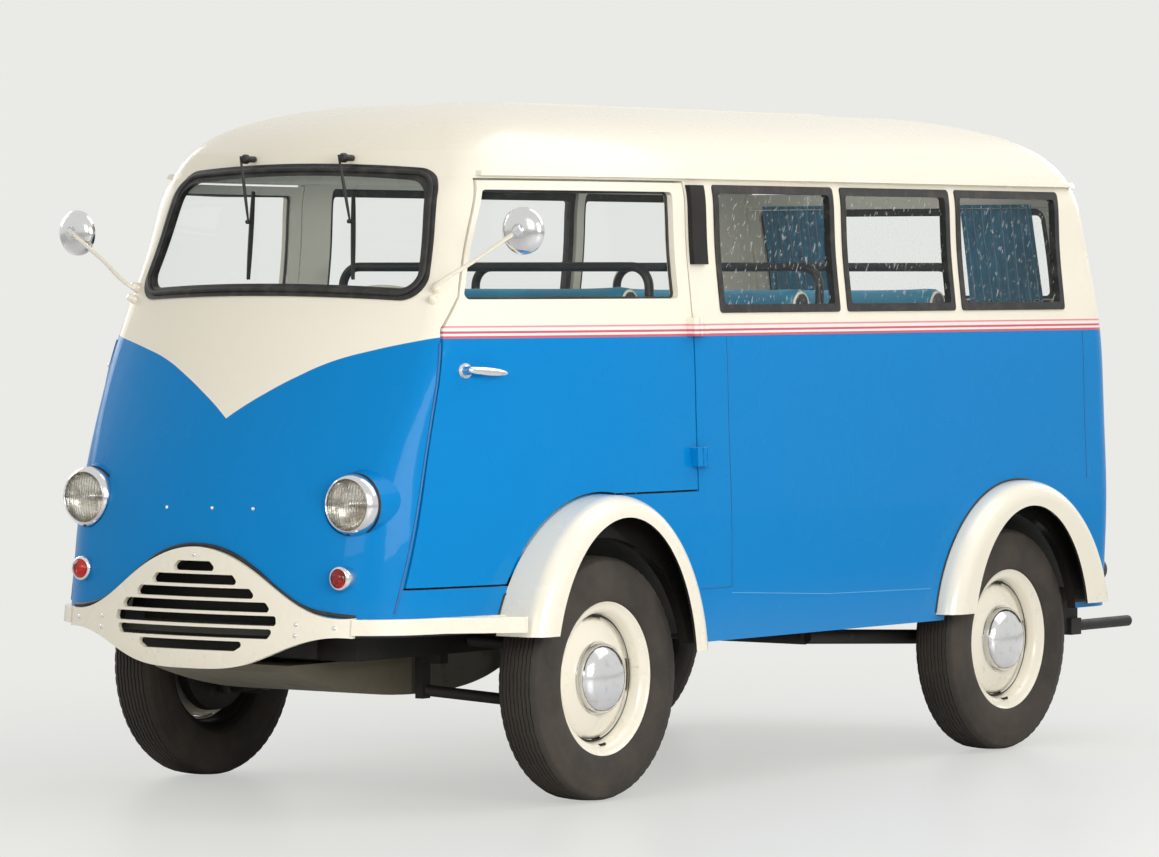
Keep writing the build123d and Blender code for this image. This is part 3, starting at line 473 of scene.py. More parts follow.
MAT = {
    "side": side_paint(),
    "nose": nose_paint(),
    "cream": cream_paint("paint_cream"),
    "roof": cream_paint("paint_roof", inside=True),
    "fender_front": fender_paint("paint_fender_front", FRONT_AXLE),
    "fender_rear": fender_paint("paint_fender_rear", REAR_AXLE),
    "chrome": chrome(),
    "seal": rubber("seal_rubber_black"),
    "seam": metal_paint("seam_blue", (0, 82, 130), (0, 66, 106), 0.3, (0.4, 0.6)),
    # Painted highlight: a light blue line along the sill crease.
    "crease_highlight": metal_paint("crease_painted_highlight", (84, 172, 222), (60, 150, 204), 0.3, (0.3, 0.5)),
    "welt": metal_paint("welt_blue", (0, 104, 168), (0, 84, 138), 0.2, (0.28, 0.45)),
    "tyre": tyre_material(),
    "clear": glass_pane("glass_clear", False),
    "painted_flecks": glass_pane("glass_painted_reflections", True),
    "teal": vinyl("vinyl_teal", (0, 106, 134)),
    "grey_vinyl": vinyl("vinyl_grey", (44, 50, 56)),
    "bench": vinyl("vinyl_bench", (0, 108, 136), (8, 126, 156), (40, 46, 52)),
    "piping": vinyl("vinyl_piping", (226, 218, 196), grain=500.0),
    "curtain": curtain_cloth(),
    "dash": cream_paint("paint_dash"),
    "black_tube": metal_paint("tube_black", (26, 28, 32), (90, 88, 84), 0.15, (0.25, 0.45)),
    "bakelite": cream_paint("bakelite_cream"),
    "floor": metal_paint("floor_mat", (58, 58, 56), (92, 86, 76), 0.4, (0.7, 0.9)),
    "black": metal_paint("trim_black", (20, 20, 21), (60, 58, 54), 0.2, (0.35, 0.6)),
    "chassis": metal_paint("chassis_black", (26, 25, 24), (110, 84, 60), 0.35, (0.55, 0.8)),
    "engine": metal_paint("engine_grey", (84, 84, 78), (60, 44, 32), 0.5, (0.6, 0.9)),
    "pan": metal_paint("pan_olive", (104, 98, 82), (64, 58, 48), 0.5, (0.4, 0.7)),
    "rust": rusty("exhaust_rusty"),
    "red": lens_glass("lens_red", (0.93, 0.03, 0.02, 1)),
    "lamp": lens_glass("lens_clear", (0.98, 0.98, 0.96, 1), 0.02),
    "reflector": bright_reflector(),
    # Matt near-black for the signal arms; the same material is the painted shade behind the grille.
    "black_and_painted_shade": metal_paint("black_arms_and_painted_grille_shade", (14, 14, 14), (30, 28, 26), 0.3, (0.7, 0.9)),
}

SIDES = (("left", 1), ("right", -1))
NODE_LOOKS = {
    "front_panel": "nose", "roof": "roof", "side_panels": "side", "rear_panel": "side",
    "floor": "floor", "dashboard": "dash", "windscreen": "clear", "window_seals": "seal",
    "side_glass": "painted_flecks", "grille_panel": "cream", "bumper_bars": "cream", "headlamps": "chrome",
    "signal_lamps": "red", "front_fenders": "fender_front", "rear_fenders": "fender_rear",
    "chassis": "chassis",
    "engine": "engine", "undertray": "pan", "front_suspension": "chassis", "rear_axle": "chassis",
    "exhaust": "rust", "cab_seat": "teal", "middle_seat": "teal", "rear_seat": "teal",
    "grab_rails": "black_tube", "steering_wheel": "bakelite", "mirrors": "chrome",
    "wipers": "black", "signal_arms": "black_and_painted_shade", "tailgate": "side", "tailgate_seal": "seal",
    "tailgate_glass": "clear",
}
for side in ("left", "right"):
    NODE_LOOKS[f"door_{side}"] = "side"
    NODE_LOOKS[f"door_glass_{side}"] = "clear"
    NODE_LOOKS[f"door_handle_{side}"] = "chrome"
    NODE_LOOKS[f"knuckle_{side}"] = "chassis"
for end, side in WHEELS:
    NODE_LOOKS[f"tyre_{end}_{side}"] = "tyre"
    NODE_LOOKS[f"rim_{end}_{side}"] = "cream"
for name, look in NODE_LOOKS.items():
    for slot in nodes[name].material_slots:
        slot.material = MAT[look]


def finish_piece(obj, body, look, replaces=(), smooth=True):
    bpy.context.scene.collection.objects.link(obj)
    obj.data.materials.append(MAT[look])
    if obj.type == "MESH" and smooth:
        for polygon in obj.data.polygons:
            polygon.use_smooth = True
    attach(obj, body)
    if replaces:
        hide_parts(*replaces)
    return obj


def mesh_piece(name, verts, faces, body, look, replaces=(), smooth=True, sharp=None):
    mesh = bpy.data.meshes.new(name)
    mesh.from_pydata([tuple(v) for v in verts], [], faces)
    mesh.validate()
    piece = finish_piece(bpy.data.objects.new(name, mesh), body, look, replaces, smooth)
    if sharp:
        modifier = piece.modifiers.new("edges", "EDGE_SPLIT")
        modifier.split_angle = math.radians(sharp)
    return piece


def tube_piece(name, points, radius, body, look, closed=False, sides=4, straight=False):
    """A round bar through the points: smooth, or with straight runs."""
    data = bpy.data.curves.new(name, "CURVE")
    data.dimensions = "3D"
    data.bevel_depth = radius
    data.bevel_resolution = sides
    data.use_fill_caps = True
    kind = "POLY" if straight else "BEZIER"
    spline = data.splines.new(kind)
    target = spline.points if straight else spline.bezier_points
    target.add(len(points) - 1)
    for spot, place in zip(target, points):
        if straight:
            spot.co = (*place, 1.0)
        else:
            spot.co = place
            spot.handle_left_type = spot.handle_right_type = "AUTO"
    spline.use_cyclic_u = closed
    obj = bpy.data.objects.new(name, data)
    return finish_piece(obj, body, look)


def revolve(profile, segments, place, start=0.0, turn=2 * math.pi):
    """Verts and faces of an (along, radius) outline turned round the local X axis, then placed."""
    verts, faces = [], []
    whole = abs(turn - 2 * math.pi) < 1e-6
    rings = segments if whole else segments + 1
    for ring in range(rings):
        angle = start + turn * ring / segments
        for along, radius in profile:
            verts.append(place @ Vector((along, radius * math.cos(angle), radius * math.sin(angle))))
    count = len(profile)
    for ring in range(segments):
        following = (ring + 1) % rings
        for i in range(count - 1):
            faces.append((ring * count + i, following * count + i,
                          following * count + i + 1, ring * count + i + 1))
    return verts, faces


def strip_faces(rows, count, closed):
    """Faces between following rows of verts; each row may close on itself."""
    faces = []
    for row in range(rows):
        for i in range(count if closed else count - 1):
            j = (i + 1) % count
            faces.append((row * count + i, row * count + j, (row + 1) * count + j, (row + 1) * count + i))
    return faces


def facing(origin, direction):
    """A transform whose local X points along the direction."""
    return Matrix.Translation(origin) @ Vector(direction).to_track_quat("X", "Z").to_matrix().to_4x4()


def turned_piece(name, profile, origin, direction, body, look, segments=48, replaces=(), sharp=35):
    verts, faces = revolve(profile, segments, facing(origin, direction))
    return mesh_piece(name, verts, faces, body, look, replaces, sharp=sharp)


def mirrored_name(base, sign):
    return f"{base}_{'left' if sign > 0 else 'right'}"


# --- Camera ---
camera_data = bpy.data.cameras.new("camera")
camera = bpy.data.objects.new("camera", camera_data)
bpy.context.scene.collection.objects.link(camera)
bpy.context.scene.camera = camera
camera_data.sensor_width = 36.0
camera_data.lens = 176.35
camera_data.shift_x = 0.00625
camera_data.shift_y = -0.00105
camera_data.clip_end = 200
camera.location = at(9.9973, -12.7954, 1.4753)
camera.rotation_euler = Euler((math.radians(90 - 1.5677), 0, math.radians(36.1757)))

# --- Wheels: ribbed tyres and slotted rims ---
TYRE_STEPS = 240
TREAD_GROOVES = [-0.0455 + 0.013 * i for i in range(8)]
GROOVE_HALF = 0.0019
GROOVE_DEPTH = 0.007
ZIGZAG = 0.0010


def tyre_section():
    """(x, radius, zigzag share) round the carcass, from the inner bead to the outer one."""
    wall = [(0.053, 0.2075), (0.060, 0.2145), (0.0660, 0.2190), (0.0695, 0.226), (0.0735, 0.240),
            (0.0765, 0.256), (0.0768, 0.268), (0.0757, 0.282), (0.0742, 0.292), (0.0745, 0.2945),
            (0.0736, 0.298), (0.0715, 0.308), (0.0705, 0.3105), (0.0680, 0.320), (0.0655, 0.3275),
            (0.0620, 0.3320)]
    crown = []
    for groove in TREAD_GROOVES:
        rise = 0.3415 - 0.0045 * (groove / 0.058) ** 2
        crown += [(groove - GROOVE_HALF * 1.3, rise, 1), (groove - GROOVE_HALF, rise - 0.001, 1),
                  (groove - GROOVE_HALF * 0.8, rise - GROOVE_DEPTH, 1),
                  (groove + GROOVE_HALF * 0.8, rise - GROOVE_DEPTH, 1),
                  (groove + GROOVE_HALF, rise - 0.001, 1), (groove + GROOVE_HALF * 1.3, rise, 1)]
    left = [(-x, r, 0) for x, r in wall]
    right = [(x, r, 0) for x, r in reversed(wall)]
    return left + crown + right


def tyre_mesh(centre):
    section = tyre_section()
    verts, faces = [], []
    for ring in range(TYRE_STEPS):
        angle = 2 * math.pi * ring / TYRE_STEPS
        wave = (abs(ring % 6 - 3) - 1.5) / 1.5
        for x, radius, share in section:
            radius = min(radius, 0.3425)
            if share == 0 and abs(x) < 0.0690 and radius > 0.315 and ring % 4 == 0:
                radius -= 0.0022
            verts.append(centre + Vector((x + wave * ZIGZAG * share, radius * math.cos(angle),
                                          radius * math.sin(angle))))
    count = len(section)
    for ring in range(TYRE_STEPS):
        following = (ring + 1) % TYRE_STEPS
        for i in range(count):
            j = (i + 1) % count
            faces.append((ring * count + i, following * count + i, following * count + j, ring * count + j))
    return verts, faces


RIM_SECTION = [(0.026, 0.092), (0.030, 0.100), (0.027, 0.118), (0.021, 0.140), (0.0145, 0.158),
               (0.0075, 0.169), (0.006, 0.174), (0.0085, 0.178), (0.022, 0.184), (0.038, 0.187),
               (0.045, 0.192), (0.0485, 0.199), (0.050, 0.207), (0.055, 0.213), (0.0585, 0.217),
               (0.0588, 0.220), (0.0565, 0.2208), (0.054, 0.2185), (0.053, 0.213)]
SLOT_RADII = (0.165, 0.180)
SLOT_TURN = math.radians(32)


def rim_shell(name, centre, sign, body, replaced):
    """The outer face of the rim, with four slots between disc and rim."""
    steps = 144
    place = Matrix.Translation(centre) @ Matrix.Diagonal((sign, 1, 1, 1))
    verts, faces = revolve(RIM_SECTION, steps, place)
    count = len(RIM_SECTION)
    kept = []
    for index, face in enumerate(faces):
        ring, row = divmod(index, count - 1)
        angle = 2 * math.pi * (ring + 0.5) / steps
        middle = (RIM_SECTION[row][1] + RIM_SECTION[row + 1][1]) / 2
        quarter = angle % (math.pi / 2)
        off_centre = min(quarter, math.pi / 2 - quarter)
        in_slot = SLOT_RADII[0] < middle < SLOT_RADII[1] and off_centre < SLOT_TURN / 2
        if not in_slot:
            kept.append(face)
    rim = mesh_piece(name, verts, kept, body, "cream", replaced)
    solid = rim.modifiers.new("thickness", "SOLIDIFY")
    solid.thickness = 0.003
    solid.offset = -1 if sign > 0 else 1
    return rim


INNER_RIM = [(0.018, 0.172), (0.010, 0.182), (-0.015, 0.186), (-0.035, 0.190), (-0.046, 0.204),
             (-0.054, 0.210), (-0.0585, 0.217), (-0.0575, 0.2205), (-0.0535, 0.217), (-0.0525, 0.208)]
DRUM = [(-0.062, 0.016), (-0.062, 0.108), (-0.058, 0.138), (-0.050, 0.149), (-0.018, 0.152),
        (-0.012, 0.142), (-0.010, 0.050)]
HUBCAP = [(0.022, 0.1040), (0.031, 0.1050), (0.0345, 0.1025), (0.039, 0.1010), (0.050, 0.0990),
          (0.060, 0.0945), (0.069, 0.0860), (0.077, 0.0735), (0.0828, 0.0570), (0.0858, 0.0430),
          (0.0868, 0.0355), (0.0888, 0.024), (0.0898, 0.012), (0.0900, 0.0)]
for end, side in WHEELS:
    sign = 1 if side == "left" else -1
    body = f"wheel_{end}_{side}"
    centre = centre_of(f"tyre_{end}_{side}")
    verts, faces = tyre_mesh(centre)
    mesh_piece(f"tread_{end}_{side}", verts, faces, body, "tyre",
               (f"tyre_{end}_{side}",), sharp=40)
    rim_shell(f"wheel_rim_{end}_{side}", centre, sign, body, (f"rim_{end}_{side}",))
    outward = Vector((sign, 0, 0))
    inner = turned_piece(f"rim_inner_{end}_{side}", INNER_RIM, centre, outward, body,
                         "chassis", 96, (f"rim_{end}_{side}",))
    inner.modifiers.new("thickness", "SOLIDIFY").thickness = 0.002
    turned_piece(f"drum_{end}_{side}", DRUM, centre, outward, body, "chassis",
                 72, (f"rim_{end}_{side}",))
    turned_piece(f"hubcap_{end}_{side}", HUBCAP, centre, outward, body, "chrome",
                 96, (f"rim_{end}_{side}",), sharp=60)
    stem = centre + Vector((sign * 0.030, 0.0, -0.189))
    turned_piece(f"valve_{end}_{side}", [(-0.01, 0.0), (-0.01, 0.0048), (0.010, 0.0048), (0.012, 0.0036),
                                         (0.024, 0.0036), (0.024, 0.0044), (0.030, 0.0044), (0.030, 0.0)],
                 stem, Vector((sign, 0.0, 0.25)).normalized(), body, "seal", 16)

# --- Headlamps: chrome ring, silvered bowl and a fluted lens ---
LAMP_RING = [(-0.004, 0.079), (0.006, 0.0845), (0.020, 0.0850), (0.032, 0.0815), (0.041, 0.0755),
             (0.0435, 0.0720), (0.0420, 0.0700), (0.036, 0.0700)]
LAMP_BOWL = [(0.034, 0.0705), (0.024, 0.0640), (0.014, 0.0530), (0.007, 0.0360), (0.004, 0.018), (0.003, 0.0)]


def fluted_lens(name, origin, radius, face, body):
    """A bowed lens whose inside carries upright flutes."""
    rings, spokes = 22, 96
    verts, faces = [], []
    place = facing(origin, AHEAD)
    for side_of in (0, 1):
        for ring in range(rings + 1):
            reach = radius * ring / rings
            for spoke in range(spokes):
                angle = 2 * math.pi * spoke / spokes
                y, z = reach * math.cos(angle), reach * math.sin(angle)
                bow = face + 0.013 * (1 - (reach / radius) ** 2)
                if side_of:
                    bow -= 0.0040 + 0.0019 * math.cos(y / 0.0046 * math.pi)
                verts.append(place @ Vector((bow, y, z)))
    layer = (rings + 1) * spokes
    for side_of in (0, 1):
        for ring in range(rings):
            for spoke in range(spokes):
                a = side_of * layer + ring * spokes + spoke
                b = side_of * layer + ring * spokes + (spoke + 1) % spokes
                quad = (a, b, b + spokes, a + spokes)
                faces.append(quad if side_of else tuple(reversed(quad)))
    for spoke in range(spokes):
        a = rings * spokes + spoke
        b = rings * spokes + (spoke + 1) % spokes
        faces.append((a, b, layer + b, layer + a))
    return mesh_piece(name, verts, faces, body, "lamp", ("headlamps",))


lamp_low, lamp_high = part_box("headlamps")
LENS_RADIUS, LENS_FACE = 0.0705, 0.036
LAMP_Z = (lamp_low.z + lamp_high.z) / 2
LAMP_X = lamp_high.x - 0.084
LAMP_BACK = lamp_high.y
for sign in (1, -1):
    spot = Vector((sign * LAMP_X, LAMP_BACK, LAMP_Z))
    turned_piece(mirrored_name("lamp_ring", sign), LAMP_RING, spot, AHEAD, "body", "chrome", 96,
                 ("headlamps",), sharp=60)
    turned_piece(mirrored_name("lamp_bowl", sign), LAMP_BOWL, spot, AHEAD, "body", "reflector", 64,
                 ("headlamps",), sharp=80)
    turned_piece(mirrored_name("lamp_bulb", sign),
                 [(0.002, 0.012), (0.010, 0.012), (0.012, 0.009), (0.016, 0.0085), (0.026, 0.0075),
                  (0.031, 0.0045), (0.032, 0.0)], spot, AHEAD, "body", "chrome", 32)
    fluted_lens(mirrored_name("lamp_lens", sign), spot, LENS_RADIUS, LENS_FACE, "body")
    turned_piece(mirrored_name("lamp_gasket", sign), [(-0.003, 0.0800), (-0.003, 0.0870), (0.003, 0.0868),
                                                      (0.0035, 0.0830)],
                 spot, AHEAD, "body", "seal", 72)
    screw = spot + Vector((0, -0.036, -0.0785))
    turned_piece(mirrored_name("lamp_screw", sign), [(-0.004, 0.0045), (0.002, 0.0045), (0.0032, 0.003),
                                                     (0.0036, 0.0)],
                 screw, AHEAD, "body", "seal", 16)

# --- Front indicators and tail lamps ---
signal_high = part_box("signal_lamps")[1]
INDICATOR = at(0.460, -0.85, 0.648)
TAIL_LAMP = at(0.650, 2.826, 0.526)
DOMED_LENS = [(0.0, 0.0255), (0.004, 0.0255), (0.009, 0.0240), (0.0130, 0.0210), (0.0162, 0.0165),
              (0.0184, 0.0110), (0.0196, 0.0055), (0.0200, 0.0)]
for sign in (1, -1):
    front_spot = INDICATOR.copy()
    front_spot.x *= sign
    skin_spot, _ = on_skin(front_spot + AHEAD * 0.3, BACK)
    base = Vector((front_spot.x, skin_spot.y, front_spot.z))
    turned_piece(mirrored_name("indicator_ring", sign),
                 [(-0.016, 0.034), (0.012, 0.0345), (0.020, 0.0335), (0.025, 0.0300), (0.0250, 0.0265),
                  (0.021, 0.0255), (0.016, 0.0255)],
                 base, AHEAD, "body", "chrome", 64, ("signal_lamps",), sharp=60)
    turned_piece(mirrored_name("indicator_lens", sign), DOMED_LENS, base + AHEAD * 0.018, AHEAD,
                 "body", "red", 48, ("signal_lamps",))
    turned_piece(mirrored_name("indicator_back", sign), [(0.0, 0.030), (0.006, 0.022), (0.008, 0.0)],
                 base + AHEAD * 0.008, AHEAD, "body", "reflector", 32)
    tail = Vector((sign * TAIL_LAMP.x, signal_high.y, TAIL_LAMP.z))
    turned_piece(mirrored_name("tail_shell", sign),
                 [(-0.080, 0.030), (-0.080, 0.036), (-0.060, 0.041), (-0.020, 0.043), (-0.008, 0.043),
                  (-0.002, 0.041), (0.0, 0.0375), (-0.004, 0.036), (-0.012, 0.036)],
                 tail, BACK, "body", "black", 64, ("signal_lamps",))
    turned_piece(mirrored_name("tail_lens", sign),
                 [(-0.014, 0.0365), (-0.004, 0.0365), (0.001, 0.033), (0.004, 0.027), (0.0045, 0.024),
                  (0.0075, 0.019), (0.008, 0.015), (0.010, 0.009), (0.0105, 0.0)],
                 tail - BACK * 0.004, BACK, "body", "red", 48, ("signal_lamps",))
    turned_piece(mirrored_name("tail_back", sign), [(-0.02, 0.036), (-0.03, 0.02), (-0.032, 0.0)],
                 tail, BACK, "body", "reflector", 32)

# --- Painted shade behind the grille: a flat black sheet for the dark space seen through the slots ---
grille_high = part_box("grille_panel")[1]
shade_sheet_y = grille_high.y + 0.060
shade_sheet_verts = [Vector((x, shade_sheet_y, z)) for x, z in
              ((-0.30, 0.42), (0.30, 0.42), (0.30, 0.60), (0.09, 0.70), (-0.09, 0.70), (-0.30, 0.60))]
shade_sheet_back = [v + Vector((0, 0.02, 0)) for v in shade_sheet_verts]
shade_sheet_faces = [tuple(range(6)), tuple(reversed(range(6, 12)))]
shade_sheet_faces += [(i, 6 + i, 6 + (i + 1) % 6, (i + 1) % 6) for i in range(6)]
# Painted shade: this black sheet stands for the dark space seen through the grille slots.
mesh_piece("painted_shade_behind_grille", shade_sheet_verts + shade_sheet_back, shade_sheet_faces, "body", "black_and_painted_shade", smooth=False)

# --- Lines laid on the bodywork: seams, a painted highlight along the sill crease, rubber edges and welts ---
door_glass_trees = {side: surface_tree([f"door_glass_{side}"]) for side in ("left", "right")}
seal_tree = surface_tree(["window_seals"])
gate_seal_tree = surface_tree(["tailgate_seal"])


def rounded(corners, radius, steps=6):
    """A closed outline through the corners, each rounded by the radius."""
    result = []
    count = len(corners)
    for i, corner in enumerate(corners):
        here = Vector(corner)
        before = (Vector(corners[i - 1]) - here).normalized()
        after = (Vector(corners[(i + 1) % count]) - here).normalized()
        half = before.angle(after) / 2
        reach = radius / math.tan(half)
        middle = here + (before + after).normalized() * (radius / math.sin(half))
        start, end = here + before * reach, here + after * reach
        for step in range(steps + 1):
            share = step / steps
            spot = start.lerp(end, share) - middle
            result.append(middle + spot.normalized() * radius)
    return result


def densely(points, step, closed=False):
    """The same line with no gap longer than the step."""
    result = []
    pairs = list(zip(points, points[1:] + points[:1])) if closed else list(zip(points, points[1:]))
    for a, b in pairs:
        parts = max(1, round((b - a).length / step))
        result += [a.lerp(b, i / parts) for i in range(parts)]
    if not closed:
        result.append(points[-1])
    return result


def laid(points, axis, start, tree=skin_tree, lift=0.0):
    """Flat outline points dropped onto a surface: along x for side views, along y for end views."""
    result = []
    for a, b in points:
        origin = at(start, a, b) if abs(axis.x) > 0.5 else Vector((a, start, b))
        hit, normal = on_skin(origin, axis, tree)
        if hit is not None:
            result.append(hit + normal * lift)
    return result


def line_on_skin(name, points, sign, body, width=0.0012, look="seam"):
    """A narrow line on the side of the body, a joint or the painted highlight along the sill crease, given as
    (station, height) points.
    """
    flat = densely([Vector(p) for p in points], 0.03)
    return tube_piece(name, laid(flat, ACROSS * -sign, sign * 1.2), width, body, look,
                      sides=2, straight=True)


SIDE_SEAMS = {
    "front": [(0.605, 1.288), (0.605, 0.573), (0.455, 0.573)],
    # The sill line is a painted highlight along the crease, not a joint.
    "sill": [(0.605, 0.556), (1.10, 0.530), (1.66, 0.520)],
    "rear": [(2.575, 1.288), (2.575, 0.83)],
}
DOOR_WELT = [(-0.524, 1.282), (-0.724, 0.552)]
for sign in (1, -1):
    for name, points in SIDE_SEAMS.items():
        line_on_skin(mirrored_name(f"seam_{name}", sign), points, sign, "body",
                     look="crease_highlight" if name == "sill" else "seam")
    line_on_skin(mirrored_name("door_welt", sign), DOOR_WELT, sign, "body", 0.0038, "welt")


def fender_welt(name, station, half_length, top, offset, sign, start_turn, end_turn):
    """A black bead where a fender meets the body."""
    points = []
    steps = 40
    for i in range(steps + 1):
        turn = math.radians(start_turn + (end_turn - start_turn) * i / steps)
        points.append(Vector((station + offset - (half_length + 0.003) * math.cos(turn),
                              WHEEL_HEIGHT + (top - WHEEL_HEIGHT + 0.003) * math.sin(turn))))
    spots = laid(points, ACROSS * -sign, sign * 1.2, lift=0.001)
    return tube_piece(name, spots, 0.0028, "body", "seal", sides=3, straight=True)


WHEELBASE = REAR_AXLE - FRONT_AXLE
for sign in (1, -1):
    fender_welt(mirrored_name("welt_front", sign), 0.0, 0.425, 0.855, 0.008, sign, 17, 172)
    fender_welt(mirrored_name("welt_rear", sign), WHEELBASE, 0.476, 0.833, 0.036, sign, 12, 168)

# Rubber edge of the door windows, at the glass
DOOR_WINDOW = [(-0.4368, 1.400), (-0.3235, 1.702), (0.386, 1.702), (0.386, 1.400)]
for side, sign in SIDES:
    edge = densely(rounded([(y + 0.001, z) for y, z in DOOR_WINDOW], 0.016), 0.05, closed=True)
    inset_edge = []
    middle = Vector((0.0, 1.551))
    for spot in edge:
        inset_edge.append(spot + (middle - spot).normalized() * 0.004)
    spots = laid(inset_edge, ACROSS * -sign, sign * 1.2, door_glass_trees[side], lift=0.001)
    tube_piece(f"door_window_rubber_{side}", spots, 0.0040, f"door_{side}", "seal",
               closed=True, sides=3, straight=True)

# Raised bead round the windscreen gasket and the tailgate window
SCREEN = [(-0.499, 1.411), (-0.4480, 1.741), (0.4480, 1.741), (0.499, 1.411)]
FOOT_BOW, HEAD_BOW = 0.016, 0.020
edge = []
for x, z in densely(rounded(SCREEN, 0.062, 10), 0.04, closed=True):
    bow = FOOT_BOW + (HEAD_BOW - FOOT_BOW) * (z - 1.411) / 0.33
    edge.append(Vector((x, z + bow * (1 - (x / 0.49) ** 2))))
spots = laid(edge, BACK, at(0, -1.2, 0).y, seal_tree, lift=0.001)
tube_piece("screen_bead", spots, 0.0075, "body", "seal", closed=True, straight=True)
GATE_HALF_WIDTH, GATE_HALF_HEIGHT, GATE_MIDDLE = 0.538, 0.140, 1.527
edge = densely(rounded([(-GATE_HALF_WIDTH, GATE_MIDDLE - GATE_HALF_HEIGHT),
                        (-GATE_HALF_WIDTH, GATE_MIDDLE + GATE_HALF_HEIGHT),
                        (GATE_HALF_WIDTH, GATE_MIDDLE + GATE_HALF_HEIGHT),
                        (GATE_HALF_WIDTH, GATE_MIDDLE - GATE_HALF_HEIGHT)], 0.030, 8), 0.05, closed=True)
spots = laid(edge, AHEAD, at(0, 3.4, 0).y, gate_seal_tree, lift=0.001)
tube_piece("gate_bead", spots, 0.006, "tailgate", "seal", closed=True, straight=True)

# Black rubber along the top edge of the grille panel
GRILLE_TOP = [(-0.497, 0.543), (-0.430, 0.550), (-0.358, 0.566), (-0.275, 0.612), (-0.196, 0.667),
              (-0.105, 0.712), (0.0, 0.728), (0.105, 0.712), (0.196, 0.667), (0.275, 0.612),
              (0.358, 0.566), (0.430, 0.550), (0.497, 0.543)]
nose_tree = surface_tree(["front_panel"])
spots = laid([Vector(p) for p in GRILLE_TOP], BACK, at(0, -1.2, 0).y, nose_tree, lift=0.003)
tube_piece("grille_rubber", spots, 0.0055, "body", "seal", sides=3)

# Three small studs and the grille panel's screws
STUDS = [(-0.136, 0.827), (0.030, 0.829), (0.167, 0.830)]
for index, (x, z) in enumerate(STUDS):
    hit, normal = on_skin(Vector((x, at(0, -1.2, 0).y, z)), BACK, nose_tree)
    turned_piece(f"nose_stud_{index + 1}", [(-0.002, 0.0055), (0.0012, 0.0052), (0.0028, 0.0036),
                                            (0.0036, 0.0)], hit, normal, "body", "chrome", 20)
grille_tree = surface_tree(["grille_panel"])
SCREWS = [(0.345, 0.522), (0.345, 0.492), (-0.345, 0.522), (-0.345, 0.492), (0.0, 0.702), (0.455, 0.514),
          (-0.455, 0.514)]
for index, (x, z) in enumerate(SCREWS):
    hit, normal = on_skin(Vector((x, at(0, -1.2, 0).y, z)), BACK, grille_tree)
    turned_piece(f"grille_screw_{index + 1}", [(-0.001, 0.0062), (0.0012, 0.0060), (0.0026, 0.0042),
                                               (0.0030, 0.0)], hit, normal, "body", "chrome", 20)

# --- Mirrors, wipers and handles ---
MIRROR_BASE = (0.536, -0.497, 1.429)
MIRROR_HEAD = (0.800, -0.447, 1.587)
MIRROR_BACK = [(-0.013, 0.0635), (-0.011, 0.0652), (-0.006, 0.0655), (0.002, 0.0640), (0.010, 0.0570),
               (0.016, 0.0450), (0.0195, 0.0300), (0.0205, 0.0200), (0.0190, 0.0185), (0.0190, 0.0150),
               (0.0250, 0.0135), (0.0270, 0.0080), (0.0270, 0.0)]
for sign in (1, -1):
    base = at(sign * MIRROR_BASE[0], *MIRROR_BASE[1:])
    head = at(sign * MIRROR_HEAD[0], *MIRROR_HEAD[1:])
    joint = head + AHEAD * 0.020
    ahead = Vector((sign * 0.05, -1, -0.04)).normalized()
    turned_piece(mirrored_name("mirror_back", sign), MIRROR_BACK, head, ahead, "body", "chrome", 64,
                 ("mirrors",))
    turned_piece(mirrored_name("mirror_face", sign), [(-0.0105, 0.0636), (-0.0105, 0.0)], head, ahead,
                 "body", "reflector", 48)
    elbow = base.lerp(joint, 0.07) + AHEAD * 0.012
    tube_piece(mirrored_name("mirror_arm", sign), [base + BACK * 0.02, base, elbow, base.lerp(joint, 0.5),
                                                   joint], 0.0062, "body", "cream")
    turned_piece(mirrored_name("mirror_socket", sign),
                 [(-0.012, 0.0), (-0.012, 0.011), (0.010, 0.011), (0.014, 0.008), (0.014, 0.0)],
                 joint, (base - joint).normalized(), "body", "chrome", 24)
    for drop, size in ((0.0, 0.013), (-0.032, 0.011)):
        seat, normal = on_skin(base + Vector((0, -0.3, drop)), BACK, nose_tree)
        turned_piece(mirrored_name(f"mirror_foot_{'a' if drop == 0 else 'b'}", sign),
                     [(-0.004, size * 1.25), (0.004, size * 1.2), (0.010, size), (0.020, size * 0.9),
                      (0.024, size * 0.6), (0.025, 0.0)],
                     seat, normal, "body", "cream", 24)

WIPER_X = 0.176
WIPER_LEAN = 0.112
SCREEN_FOOT, SCREEN_HEAD = (1.398, -0.588, 1.650), (1.738, -0.430, 1.750)


def before_screen(x, height, clear):
    share = (height - SCREEN_FOOT[0]) / (SCREEN_HEAD[0] - SCREEN_FOOT[0])
    station = SCREEN_FOOT[1] + share * (SCREEN_HEAD[1] - SCREEN_FOOT[1])
    return at(x, station + x * x / (2 * SCREEN_FOOT[2]) - clear, height)


def blade(name, start, end, wide, deep, look, body):
    """A slender bar with a flat section, thinner towards its ends."""
    along = (end - start).normalized()
    out = AHEAD - along * AHEAD.dot(along)
    out.normalize()
    over = along.cross(out)
    verts = []
    steps = 14
    for i in range(steps + 1):
        share = i / steps
        taper = 0.35 + 0.65 * math.sin(math.pi * min(max(share, 0.04), 0.96)) ** 0.4
        middle = start.lerp(end, share)
        for a, b in ((-1, -1), (1, -1), (0.6, 1), (-0.6, 1)):
            verts.append(middle + over * a * wide * taper + out * b * deep * taper)
    faces = strip_faces(steps, 4, True)
    faces += [(3, 2, 1, 0), tuple(steps * 4 + j for j in range(4))]
    return mesh_piece(name, verts, faces, body, look, sharp=30)


